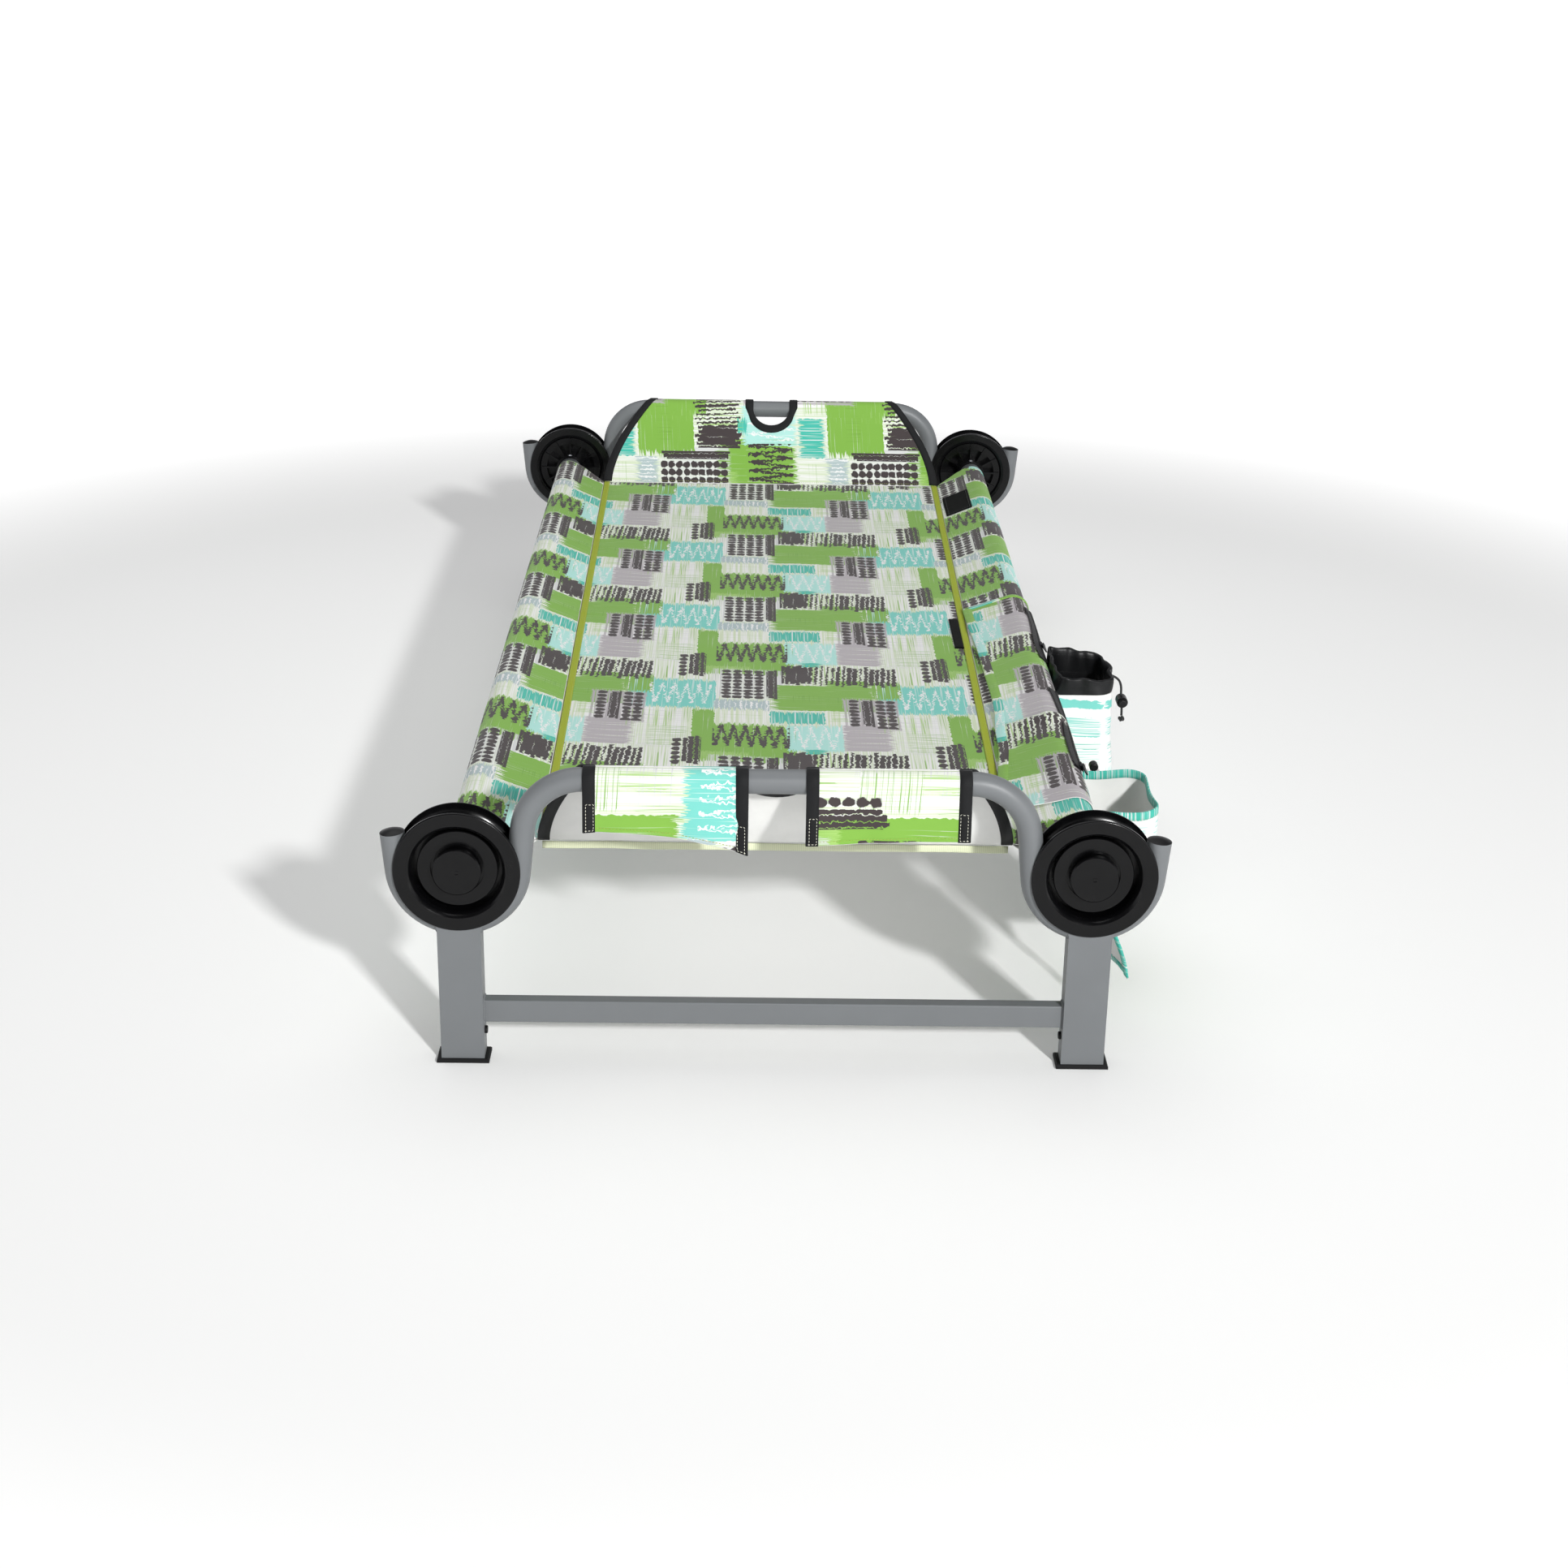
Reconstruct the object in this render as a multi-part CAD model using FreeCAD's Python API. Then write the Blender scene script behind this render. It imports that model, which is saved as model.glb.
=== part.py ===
"""Knock-down cot with disc-jointed rails: two bent-tube end frames, two side rails that end in
grooved discs, a printed fabric deck sleeved over the rails, and an organiser hung on one rail.

Millimetres. X runs across the cot, Y from foot to head, Z up from the floor. Everything is drawn
about the cot's own centre line, and save() moves it so that the origin is under the middle of the
whole object, organiser included.
"""
import FreeCAD, Part
import math
import os
from FreeCAD import Vector

# ---- driving dimensions ------------------------------------------------------------------------
cot_length = 1651.0            # from the outside face of the foot discs to that of the head discs
rail_spacing = 650.0           # between the centre lines of the two side rails
rail_height = 218.0            # rail centre lines above the floor

frame_tube_od = 25.4
frame_tube_wall = 1.5
bend_radius = 62.0             # centre line, the same for cradles and shoulders
tip_height = 38.0              # cradle's outer tip above the rail centre
tip_lean = 5.0                 # degrees outwards
arm_lean = 6.0                 # degrees towards the middle
arm_length = 49.0              # straight arm between cradle and shoulder

leg_width = 45.0
leg_depth = 25.0
leg_wall = 2.0
crossbar_height = 25.0
crossbar_depth = 15.0
crossbar_wall = 1.5
crossbar_above_floor = 44.3    # underside

cap_sole = 4.2                 # rubbery sole under the leg
cap_lip = 5.0                  # how far the sole stands out past the leg across the cot
cap_lip_depth = 3.0            # and along the cot
cap_plug_height = 15.0

button_radius = 4.25
button_height = 32.0           # centre above the floor
button_stroke = 3.0
plug_dome = 3.0

disc_rim = 3.0                 # flanges stand this far past the seated tube's centre line
disc_flange = 3.0              # flange beside the groove
disc_wall = 3.0                # web of the moulding
disc_ring_depth = 11.0         # stepped ring below the outside face
disc_dish = 8.0                # floor of the deep channel above the inside face
disc_channel = 4.5             # width of that channel's floor
hub_wall = 4.0
boss_over_hub = 3.0            # central boss wider than the hub's bore wall
hub_collar = 9.0               # collar standing past the disc's inner flange
rib_count = 12
rib_thickness = 2.2
rib_setback = 2.5              # ribs stop this far inside the disc's inner flange
rivet_radius = 2.5

rail_tube_od = 36.0
rail_tube_wall = 1.6
coupler_length = 160.0

fabric = 1.6                   # deck, sleeves and end panels
seam_drop = 5.0                # deck below the rail centres
seam_inset = 100.0             # end seams inboard of the disc faces
deck_inset_foot = 74.0         # edge of the flat deck inboard of the rail centre, foot seam
deck_inset_head = 59.0         # and at the head seam
tape_width = 9.0               # coloured tape over the long seams
panel_top_inset = 1.5          # end panel's top corner inboard of the arch's shoulder
notch_half = 30.0
notch_drop = 20.0              # notch bottom below the arch's centre line
sleeve_gap_foot = 11.0         # sleeve end short of the disc's inner flange
sleeve_gap_head = 27.0
flap_drops = {"left": (51.0, 74.0), "right": (57.0, 63.0)}   # outer and inner corner, below the arch

organizer_foot = -653.0        # organiser along the rail
organizer_head = 70.0
organizer_inset = 57.0         # its inner edge, inboard of the rail centre
organizer_drop = 130.0         # its lower edge below the rail centres
corner_foot = -745.0           # the drooping lower corner
corner_drop = 150.0
pocket_bulge = 77.8            # outer faces of the pockets beyond the organiser
pouch_foot = -240.0
pouch_head = -145.0
pouch_base_foot = -330.0       # the pouch sags towards the foot end
pouch_drop = 140.0
pouch_top_drop = 10.0
collar_rise = 24.0
pocket_foot = -641.0
pocket_head = -520.0
pocket_depth = 122.0
pocket_fabric = 1.4
pocket_corner = 22.0
zipper_runs = {"head": (-185.0, 20.0), "foot": (-555.0, -300.0)}
slider_parks = {"head": -125.0, "foot": -547.0}
zipper_angle = 38.0            # place on the rail's shoulder, degrees above level
zipper_width = 7.0
toggle_radius = 5.0
toggle_length = 12.0
toggle_out = 16.0              # beyond the organiser
patch_run = (535.0, 640.0)     # hook-and-loop patch on the right sleeve
patch_from_seam = 3.0
patch_width = 42.0
strip_run = (-85.0, 35.0)      # dark strip on the deck beside the right seam
strip_width = 12.0
trim_height = 1.0              # tapes, patch and strip stand this far up

cord_diameter = 3.0
cord_route = [(424.0, -205.0, 222.0), (432.0, -206.0, 219.0), (436.5, -207.0, 209.5),
              (436.5, -208.5, 197.0), (438.5, -209.5, 184.0), (438.5, -211.0, 171.0)]
lock_radius = 7.0
lock_length = 17.0
lock_stroke = 3.0
lock_wall = 1.2                # closed end of the barrel
lock_button = 6.0              # plunger's button stands out of the barrel
lock_spring = 1.0              # spring's length when pressed flat
knot_radius = 4.5

# ---- clearances --------------------------------------------------------------------------------
slip = 0.3                     # fabric round tube, tube in groove
press = 0.1                    # parts pushed into each other
hinge_gap = 1.0                # between a flap and the panel it folds from

# ---- worked-out places -------------------------------------------------------------------------
tube_r = frame_tube_od / 2
groove_r = tube_r + slip
disc_radius = bend_radius + disc_rim
disc_width = 2 * (groove_r + disc_flange)
rail_r = rail_tube_od / 2
rail_x = rail_spacing / 2
half_length = cot_length / 2
end_plane = half_length - disc_width / 2
seam_y = half_length - seam_inset
deck_z = rail_height - seam_drop
tip, arm = math.radians(tip_lean), math.radians(arm_lean)
arm_foot_x = rail_x - bend_radius * math.cos(arm)
arm_foot_z = rail_height - bend_radius * math.sin(arm)
arm_top_x = arm_foot_x - arm_length * math.sin(arm)
arm_top_z = arm_foot_z + arm_length * math.cos(arm)
shoulder_x = arm_top_x - bend_radius * math.cos(arm)
shoulder_z = arm_top_z - bend_radius * math.sin(arm)
arch_z = shoulder_z + bend_radius
tip_length = (tip_height + bend_radius * math.sin(tip)) / math.cos(tip)
tip_foot_x = rail_x + bend_radius * math.cos(tip)
tip_foot_z = rail_height - bend_radius * math.sin(tip)
tip_top_x = tip_foot_x + tip_length * math.sin(tip)
tip_top_z = tip_foot_z + tip_length * math.cos(tip)
leg_foot_z = cap_sole
sleeve_inner = rail_r + slip
sleeve_outer = sleeve_inner + 1.2
wrap_inner = tube_r + slip
wrap_outer = wrap_inner + fabric
organizer_inner_r = sleeve_outer + slip
organizer_outer_r = organizer_inner_r + pocket_fabric
organizer_face = rail_x + organizer_outer_r
organizer_inner = rail_x - organizer_inset
pocket_reach = organizer_face + pocket_bulge
deck_half_foot = rail_x - deck_inset_foot
deck_half_head = rail_x - deck_inset_head
panel_top_half = shoulder_x - panel_top_inset
frame_reach = tip_top_x + tube_r * math.cos(tip)
centre_x = (pocket_reach - frame_reach) / 2

SIDES = {"left": -1, "right": 1}
Y_AXIS = Vector(0, 1, 0)
Z_AXIS = Vector(0, 0, 1)
ORIGIN = Vector(0, 0, 0)


# ---- helpers -----------------------------------------------------------------------------------
def save(name, *solids):
    """Write one node, moved under the whole object's middle."""
    shape = solids[0] if len(solids) == 1 else Part.makeCompound(list(solids))
    shape = shape.copy()
    shape.translate(Vector(-centre_x, 0, 0))
    if not shape.isValid():
        raise ValueError(name + " is not a valid solid")
    shape.exportStep("parts/%s.step" % name)
    print("%-26s %2d solid(s) %10.1f mm3" % (name, len(shape.Solids), shape.Volume))


def to_head(shape):
    """The head end's copy of a shape drawn at the foot end."""
    return shape.mirror(ORIGIN, Y_AXIS)


def to_left(shape):
    return shape.mirror(ORIGIN, Vector(1, 0, 0))


def on_side(shape, side):
    return shape if side == "right" else to_left(shape)


def at_end(shape, end):
    return shape if end == "foot" else to_head(shape)


def box(low, high):
    size = [b - a for a, b in zip(low, high)]
    return Part.makeBox(*size, Vector(*low))


def face(edges):
    return Part.Face(Part.Wire(edges))


def line(a, b):
    return Part.LineSegment(a, b).toShape()


def arc(a, b, c):
    return Part.Arc(a, b, c).toShape()


def polygon(points):
    return face([line(a, b) for a, b in zip(points, points[1:] + points[:1])])


def section_xz(x, z, y=0.0):
    return Vector(x, y, z)


def on_circle(x, z, radius, degrees, y=0.0):
    turn = math.radians(degrees)
    return Vector(x + radius * math.cos(turn), y, z + radius * math.sin(turn))


def rounded_plan(x0, x1, y0, y1, z, radius):
    """Level outline with its two outer corners rounded, the flat side on x0."""
    c45 = radius * (1 - math.sqrt(0.5))
    p = [Vector(x0, y0, z), Vector(x1 - radius, y0, z), Vector(x1, y0 + radius, z),
         Vector(x1, y1 - radius, z), Vector(x1 - radius, y1, z), Vector(x0, y1, z)]
    return Part.Wire([line(p[0], p[1]), arc(p[1], Vector(x1 - c45, y0 + c45, z), p[2]),
                      line(p[2], p[3]), arc(p[3], Vector(x1 - c45, y1 - c45, z), p[4]),
                      line(p[4], p[5]), line(p[5], p[0])])


def tangent_angle(px, pz, cx, cz, radius, side):
    """Direction, in degrees, from a point to the tangent of a circle, above it or below it."""
    distance = math.hypot(cx - px, cz - pz)
    return math.degrees(math.atan2(cz - pz, cx - px) + side * math.asin(radius / distance))


# ---- end frames --------------------------------------------------------------------------------
def frame_route():
    """Centre line of the bent tube from the right tip to the left, at the foot end."""
    y = -end_plane
    half = [Vector(tip_top_x, y, tip_top_z), Vector(tip_foot_x, y, tip_foot_z),
            Vector(rail_x, y, rail_height - bend_radius), Vector(arm_foot_x, y, arm_foot_z),
            Vector(arm_top_x, y, arm_top_z),
            on_circle(shoulder_x, shoulder_z, bend_radius, (arm_lean + 90) / 2, y),
            Vector(shoulder_x, y, arch_z)]
    other = [Vector(-p.x, p.y, p.z) for p in half]
    right = [line(half[0], half[1]), arc(*half[1:4]), line(half[3], half[4]), arc(*half[4:7])]
    left = [arc(other[6], other[5], other[4]), line(other[4], other[3]),
            arc(other[3], other[2], other[1]), line(other[1], other[0])]
    return Part.Wire(right + [line(half[6], other[6])] + left)


def swept(route, radius):
    start = route.Edges[0].valueAt(route.Edges[0].FirstParameter)
    heading = route.Edges[0].tangentAt(route.Edges[0].FirstParameter)
    ring = Part.Wire(Part.makeCircle(radius, start, heading))
    return route.makePipeShell([ring], True, False)


def frame_tube(route):
    return swept(route, tube_r).cut(swept(route, tube_r - frame_tube_wall))


def leg(route):
    """Rectangular leg, coped to the underside of the cradle it is welded to."""
    y = -end_plane
    half_w, half_d = leg_width / 2, leg_depth / 2
    top = rail_height - bend_radius / 2
    outer = box((rail_x - half_w, y - half_d, leg_foot_z), (rail_x + half_w, y + half_d, top))
    inner = box((rail_x - half_w + leg_wall, y - half_d + leg_wall, leg_foot_z),
                (rail_x + half_w - leg_wall, y + half_d - leg_wall, top))
    core = Part.makeCylinder(bend_radius, 2 * leg_depth,
                             Vector(rail_x, y - leg_depth, rail_height), Y_AXIS)
    hole = Part.makeCylinder(button_radius + press, 2 * leg_wall,
                             Vector(rail_x - half_w - leg_wall, y, button_height), Vector(1, 0, 0))
    return outer.cut(inner).cut(core).cut(swept(route, tube_r)).cut(hole)


def crossbar():
    y, half_d = -end_plane, crossbar_depth / 2
    reach = rail_x - leg_width / 2
    low, high = crossbar_above_floor, crossbar_above_floor + crossbar_height
    outer = box((-reach, y - half_d, low), (reach, y + half_d, high))
    outer = outer.makeFillet(1.5, [e for e in outer.Edges if abs(e.tangentAt(0).x) > 0.9])
    w = crossbar_wall
    return outer.cut(box((-reach, y - half_d + w, low + w), (reach, y + half_d - w, high - w)))


def foot_cap():
    """Sole with bevelled shoulders and a hollow plug up the leg."""
    y = -end_plane
    half_w, half_d = leg_width / 2, leg_depth / 2
    sole = box((rail_x - half_w - cap_lip, y - half_d - cap_lip_depth, 0),
               (rail_x + half_w + cap_lip, y + half_d + cap_lip_depth, cap_sole))
    upper = [e for e in sole.Edges if abs(e.CenterOfMass.z - cap_sole) < 0.01]
    sole = sole.makeChamfer(cap_sole / 3, upper)
    in_w, in_d = half_w - leg_wall - press, half_d - leg_wall - press
    plug = box((rail_x - in_w, y - in_d, cap_sole), (rail_x + in_w, y + in_d,
                                                     cap_sole + cap_plug_height))
    hollow = box((rail_x - in_w + 2, y - in_d + 2, cap_sole), (rail_x + in_w - 2, y + in_d - 2,
                                                              cap_sole + cap_plug_height))
    return sole.fuse(plug.cut(hollow)).removeSplitter()


def tube_plug():
    """Domed plug in the cradle's open tip."""
    rim = tube_r
    dome_r = (rim * rim + plug_dome * plug_dome) / (2 * plug_dome)
    half_angle = math.asin(rim / dome_r) / 2
    mid = Vector(dome_r * math.sin(half_angle), 0, plug_dome - dome_r * (1 - math.cos(half_angle)))
    shank_r = tube_r - frame_tube_wall - press
    outline = [line(Vector(0, 0, -12), Vector(shank_r, 0, -12)),
               line(Vector(shank_r, 0, -12), Vector(shank_r, 0, 0)),
               line(Vector(shank_r, 0, 0), Vector(rim, 0, 0)),
               arc(Vector(rim, 0, 0), mid, Vector(0, 0, plug_dome)),
               line(Vector(0, 0, plug_dome), Vector(0, 0, -12))]
    plug = face(outline).revolve(ORIGIN, Z_AXIS, 360)
    plug.rotate(ORIGIN, Y_AXIS, tip_lean)
    plug.translate(Vector(tip_top_x, -end_plane, tip_top_z))
    return plug


def leg_button():
    """Snap button through the leg's inner wall, with its flange behind the wall."""
    wall_x = rail_x - leg_width / 2
    y, z, across = -end_plane, button_height, Vector(1, 0, 0)
    flange_x = wall_x + leg_wall + slip
    stem = Part.makeCylinder(button_radius, flange_x - wall_x + button_stroke,
                             Vector(wall_x - button_stroke, y, z), across)
    stem = stem.makeFillet(1.2, [e for e in stem.Edges
                                 if abs(e.CenterOfMass.x - wall_x + button_stroke) < 0.01])
    flange = Part.makeCylinder(button_radius + 2, 1.5, Vector(flange_x, y, z), across)
    return stem.fuse(flange).removeSplitter()


def button_spring():
    """Bent leaf behind the button: one leg on the flange, one near the far wall."""
    thick, width = 1.0, 8.0
    start = rail_x - leg_width / 2 + leg_wall + slip + 1.5
    far = rail_x + leg_width / 2 - leg_wall - button_stroke - slip
    low, high = button_height - 6.0, button_height + 48.0
    outer = [(start, low), (start, high - 8), (start + 6, high), (far - 6, high), (far, high - 8),
             (far, low), (far - thick, low), (far - thick, high - 8.5), (far - 6.5, high - thick),
             (start + 6.5, high - thick), (start + thick, high - 8.5), (start + thick, low)]
    leaf = polygon([Vector(x, -end_plane - width / 2, z) for x, z in outer])
    return leaf.extrude(Vector(0, width, 0))


def build_end_frames():
    route = frame_route()
    tube, one_leg, bar = frame_tube(route), leg(route), crossbar()
    for end in ("foot", "head"):
        save(end + "_frame_tube", at_end(tube, end))
        save(end + "_crossbar", at_end(bar, end))
        for side in SIDES:
            stem = "%s_%s_" % (end, side)
            save(stem + "leg", at_end(on_side(one_leg, side), end))
            save(stem + "foot_cap", at_end(on_side(foot_cap(), side), end))
            save(stem + "leg_button", at_end(on_side(leg_button(), side), end))
        save(end + "_tube_plugs", *[at_end(on_side(tube_plug(), side), end) for side in SIDES])
        save(end + "_left_button_spring", at_end(to_left(button_spring()), end))
        save(end + "_right_button_spring", at_end(button_spring(), end))


# ---- side rails --------------------------------------------------------------------------------
def rib_box(inner, outer, depth):
    """Stiffening rib on the disc's rail side, between two radii and down to a depth."""
    half = rib_thickness / 2
    return box((inner, -half, depth), (outer, half, disc_width - rib_setback))


def disc():
    """Grooved disc drawn on its own axis, outer face at 0 and rail side up, then laid along Y."""
    middle = disc_width / 2
    lip = disc_flange / 2
    soft = lip * (1 - math.sqrt(0.5))
    groove_floor = bend_radius - groove_r
    bore = rail_r + press
    hub = bore + hub_wall
    boss = hub + boss_over_hub
    ring_in, channel = boss + 2.6, groove_floor - disc_wall
    ring_out = channel - disc_channel
    floor_depth = disc_width - disc_dish
    back_floor = floor_depth + disc_wall
    ring_back = disc_ring_depth + disc_wall

    def at(r, s):
        return Vector(r, 0, s)

    def run(points):
        return [line(a, b) for a, b in zip(points, points[1:])]

    face_start, wall_end = at(groove_floor + 2.0, 0), at(channel, 9.0)
    edges = run([at(0, 0.5), at(1.8, 0.5), at(2.4, 0), at(boss - 1, 0), at(boss, 1),
                 at(boss, disc_ring_depth + 2.5), at(ring_in, disc_ring_depth + 2.5),
                 at(ring_in, disc_ring_depth), at(ring_out - 0.8, disc_ring_depth),
                 at(ring_out, disc_ring_depth + 0.8), at(ring_out, floor_depth),
                 at(channel - 0.5, floor_depth), wall_end])
    edges += [arc(wall_end, at(groove_floor - 1.4, 3.6), face_start),
              line(face_start, at(disc_radius - lip, 0)),
              arc(at(disc_radius - lip, 0), at(disc_radius - soft, soft), at(disc_radius, lip))]
    edges += run([at(disc_radius, lip), at(disc_radius, middle - groove_r),
                  at(bend_radius, middle - groove_r)])
    edges += [arc(at(bend_radius, middle - groove_r), at(groove_floor, middle),
                  at(bend_radius, middle + groove_r))]
    edges += run([at(bend_radius, middle + groove_r), at(disc_radius, middle + groove_r),
                  at(disc_radius, disc_width - lip)])
    edges += [arc(at(disc_radius, disc_width - lip), at(disc_radius - soft, disc_width - soft),
                  at(disc_radius - lip, disc_width))]
    edges += run([at(disc_radius - lip, disc_width), at(groove_floor + 5.0, disc_width),
                  at(groove_floor + 1.5, disc_width - 1.5), at(groove_floor - 1.0, back_floor),
                  at(ring_out - disc_wall, back_floor), at(ring_out - disc_wall, ring_back),
                  at(hub, ring_back), at(hub, disc_width + hub_collar),
                  at(bore, disc_width + hub_collar), at(bore, disc_wall), at(0, disc_wall),
                  at(0, 0.5)])
    body = face(edges).revolve(ORIGIN, Z_AXIS, 360)
    for step in range(rib_count):
        rib = rib_box(hub - 0.5, ring_out - disc_wall + 0.5, ring_back - 0.5)
        rib = rib.fuse(rib_box(ring_out - disc_wall, groove_floor - 2.0, back_floor - 0.5))
        rib.rotate(ORIGIN, Z_AXIS, 360.0 * step / rib_count)
        body = body.fuse(rib)
    body = body.removeSplitter()
    body.rotate(ORIGIN, Vector(1, 0, 0), -90)
    body.translate(Vector(rail_x, -half_length, rail_height))
    return body.cut(rivet_hole())


def rivet_y():
    return -half_length + disc_width + hub_collar / 2


def rivet_hole():
    return Part.makeCylinder(rivet_radius + press, 4 * rail_r,
                             Vector(rail_x, rivet_y(), rail_height - 2 * rail_r))


def rivet():
    """Cross rivet through the hub collar and the rail tube."""
    reach = rail_r + press + hub_wall
    pin = Part.makeCylinder(rivet_radius, 2 * reach,
                            Vector(rail_x, rivet_y(), rail_height - reach))
    for up in (1, -1):
        seat = Vector(rail_x, rivet_y(), rail_height + up * reach)
        head = Part.makeCone(1.6 * rivet_radius, rivet_radius, 1.2, seat, Vector(0, 0, up))
        pin = pin.fuse(head)
    return pin.removeSplitter()


def rail_half():
    """Half of a side rail, from the disc's hub to just short of mid-length."""
    start = -half_length + disc_wall + disc_ring_depth + press
    length = -press - start
    base = Vector(rail_x, start, rail_height)
    tube = Part.makeCylinder(rail_r, length, base, Y_AXIS)
    tube = tube.cut(Part.makeCylinder(rail_r - rail_tube_wall, length, base, Y_AXIS))
    return tube.cut(rivet_hole())


def rail_coupler():
    outer = rail_r - rail_tube_wall - press
    base = Vector(rail_x, -coupler_length / 2, rail_height)
    sleeve = Part.makeCylinder(outer, coupler_length, base, Y_AXIS)
    return sleeve.cut(Part.makeCylinder(outer - rail_tube_wall, coupler_length, base, Y_AXIS))


def build_rails():
    wheel, half, coupler, pin = disc(), rail_half(), rail_coupler(), rivet()
    for side in SIDES:
        for end in ("foot", "head"):
            save("%s_%s_disc" % (side, end), at_end(on_side(wheel, side), end))
            save("%s_rail_%s_half" % (side, end), at_end(on_side(half, side), end))
        save(side + "_rail_coupler", on_side(coupler, side))
        save(side + "_disc_rivets", *[at_end(on_side(pin, side), end) for end in ("foot", "head")])


# ---- fabric ------------------------------------------------------------------------------------
def deck_half(y):
    """Half width of the flat deck at a place along the cot."""
    share = (y + seam_y) / (2 * seam_y)
    return deck_half_foot + share * (deck_half_head - deck_half_foot)


def deck():
    plan = [Vector(x, y, deck_z - fabric / 2) for x, y in
            ((-deck_half_foot, -seam_y), (deck_half_foot, -seam_y),
             (deck_half_head, seam_y), (-deck_half_head, seam_y))]
    return polygon(plan).extrude(Vector(0, 0, fabric))


def teardrop(y, radius, apex_x, apex_half):
    """Outline round a rail, drawn in to the long seam."""
    upper = tangent_angle(apex_x, deck_z + apex_half, rail_x, rail_height, radius, 1)
    lower = tangent_angle(apex_x, deck_z - apex_half, rail_x, rail_height, radius, -1)
    top = on_circle(rail_x, rail_height, radius, upper + 90, y)
    bottom = on_circle(rail_x, rail_height, radius, lower - 90, y)
    high = section_xz(apex_x, deck_z + apex_half, y)
    low = section_xz(apex_x, deck_z - apex_half, y)
    return Part.Wire([line(high, top), arc(top, on_circle(rail_x, rail_height, radius, 0, y), bottom),
                      line(bottom, low), line(low, high)])


def sleeve():
    """Pocket of deck fabric round the right rail, cut on the skew outside the end seams."""
    foot = -half_length + disc_width + sleeve_gap_foot
    head = half_length - disc_width - sleeve_gap_head
    outer = Part.makeLoft([teardrop(y, sleeve_outer, deck_half(y), fabric / 2)
                           for y in (foot, head)], True, True)
    inner = Part.makeLoft([teardrop(y, sleeve_inner, deck_half(y) + 4.0, fabric / 8)
                           for y in (foot - 1, head + 1)], True, True)
    shell = outer.cut(inner)
    for y_seam, y_end in ((-seam_y, foot), (seam_y, head)):
        way = 1 if y_end > 0 else -1
        near, far = deck_half(y_seam) - 12.0, rail_x - sleeve_outer
        skew = polygon([Vector(near, y_seam, 0), Vector(deck_half(y_seam), y_seam, 0),
                        Vector(far, y_end, 0), Vector(far, y_end + 40 * way, 0),
                        Vector(near, y_end + 40 * way, 0)])
        shell = shell.cut(skew.extrude(Vector(0, 0, 2 * rail_height)))
    return shell


def seam_tape():
    """Coloured tape over the right long seam."""
    low = deck_z + fabric / 2
    plan = [Vector(deck_half_foot - tape_width, -seam_y, low), Vector(deck_half_foot, -seam_y, low),
            Vector(deck_half_head, seam_y, low), Vector(deck_half_head - tape_width, seam_y, low)]
    return polygon(plan).extrude(Vector(0, 0, trim_height))


def notch():
    """Cut-out in the middle of an end panel."""
    bottom = arch_z - notch_drop + notch_half
    y0 = -half_length - disc_width
    depth = seam_inset + 2 * disc_width
    slot = box((-notch_half, y0, bottom), (notch_half, y0 + depth, arch_z + 2 * tube_r))
    return slot.fuse(Part.makeCylinder(notch_half, depth, Vector(0, y0, bottom), Y_AXIS))


def end_panel(half_at_seam):
    """Foot end panel: up from the end seam and over the arch to its crown."""
    rise = tangent_angle(seam_y, deck_z, end_plane, arch_z, wrap_inner + fabric / 2, 1)
    normal = rise + 90

    def at(x_out, z):
        return Vector(-half_length, -x_out, z)

    def wrap(radius, degrees):
        turn = math.radians(degrees)
        return at(end_plane + radius * math.cos(turn), arch_z + radius * math.sin(turn))

    offset = fabric / 2
    turn = math.radians(normal)
    low_out = at(seam_y + offset * math.cos(turn), deck_z + offset * math.sin(turn))
    low_in = at(seam_y - offset * math.cos(turn), deck_z - offset * math.sin(turn))
    middle = (normal + 90) / 2
    outline = face([line(low_in, wrap(wrap_inner, normal)),
                    arc(wrap(wrap_inner, normal), wrap(wrap_inner, middle), wrap(wrap_inner, 90)),
                    line(wrap(wrap_inner, 90), wrap(wrap_outer, 90)),
                    arc(wrap(wrap_outer, 90), wrap(wrap_outer, middle), wrap(wrap_outer, normal)),
                    line(wrap(wrap_outer, normal), low_out), line(low_out, low_in)])
    sheet = outline.extrude(Vector(cot_length, 0, 0))
    top = arch_z + wrap_outer + fabric
    shape = [(-half_at_seam, deck_z - 2 * fabric), (half_at_seam, deck_z - 2 * fabric),
             (panel_top_half, top), (-panel_top_half, top)]
    plan = polygon([Vector(x, -half_length, z) for x, z in shape])
    return sheet.common(plan.extrude(Vector(0, seam_inset, 0))).cut(notch())


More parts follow.
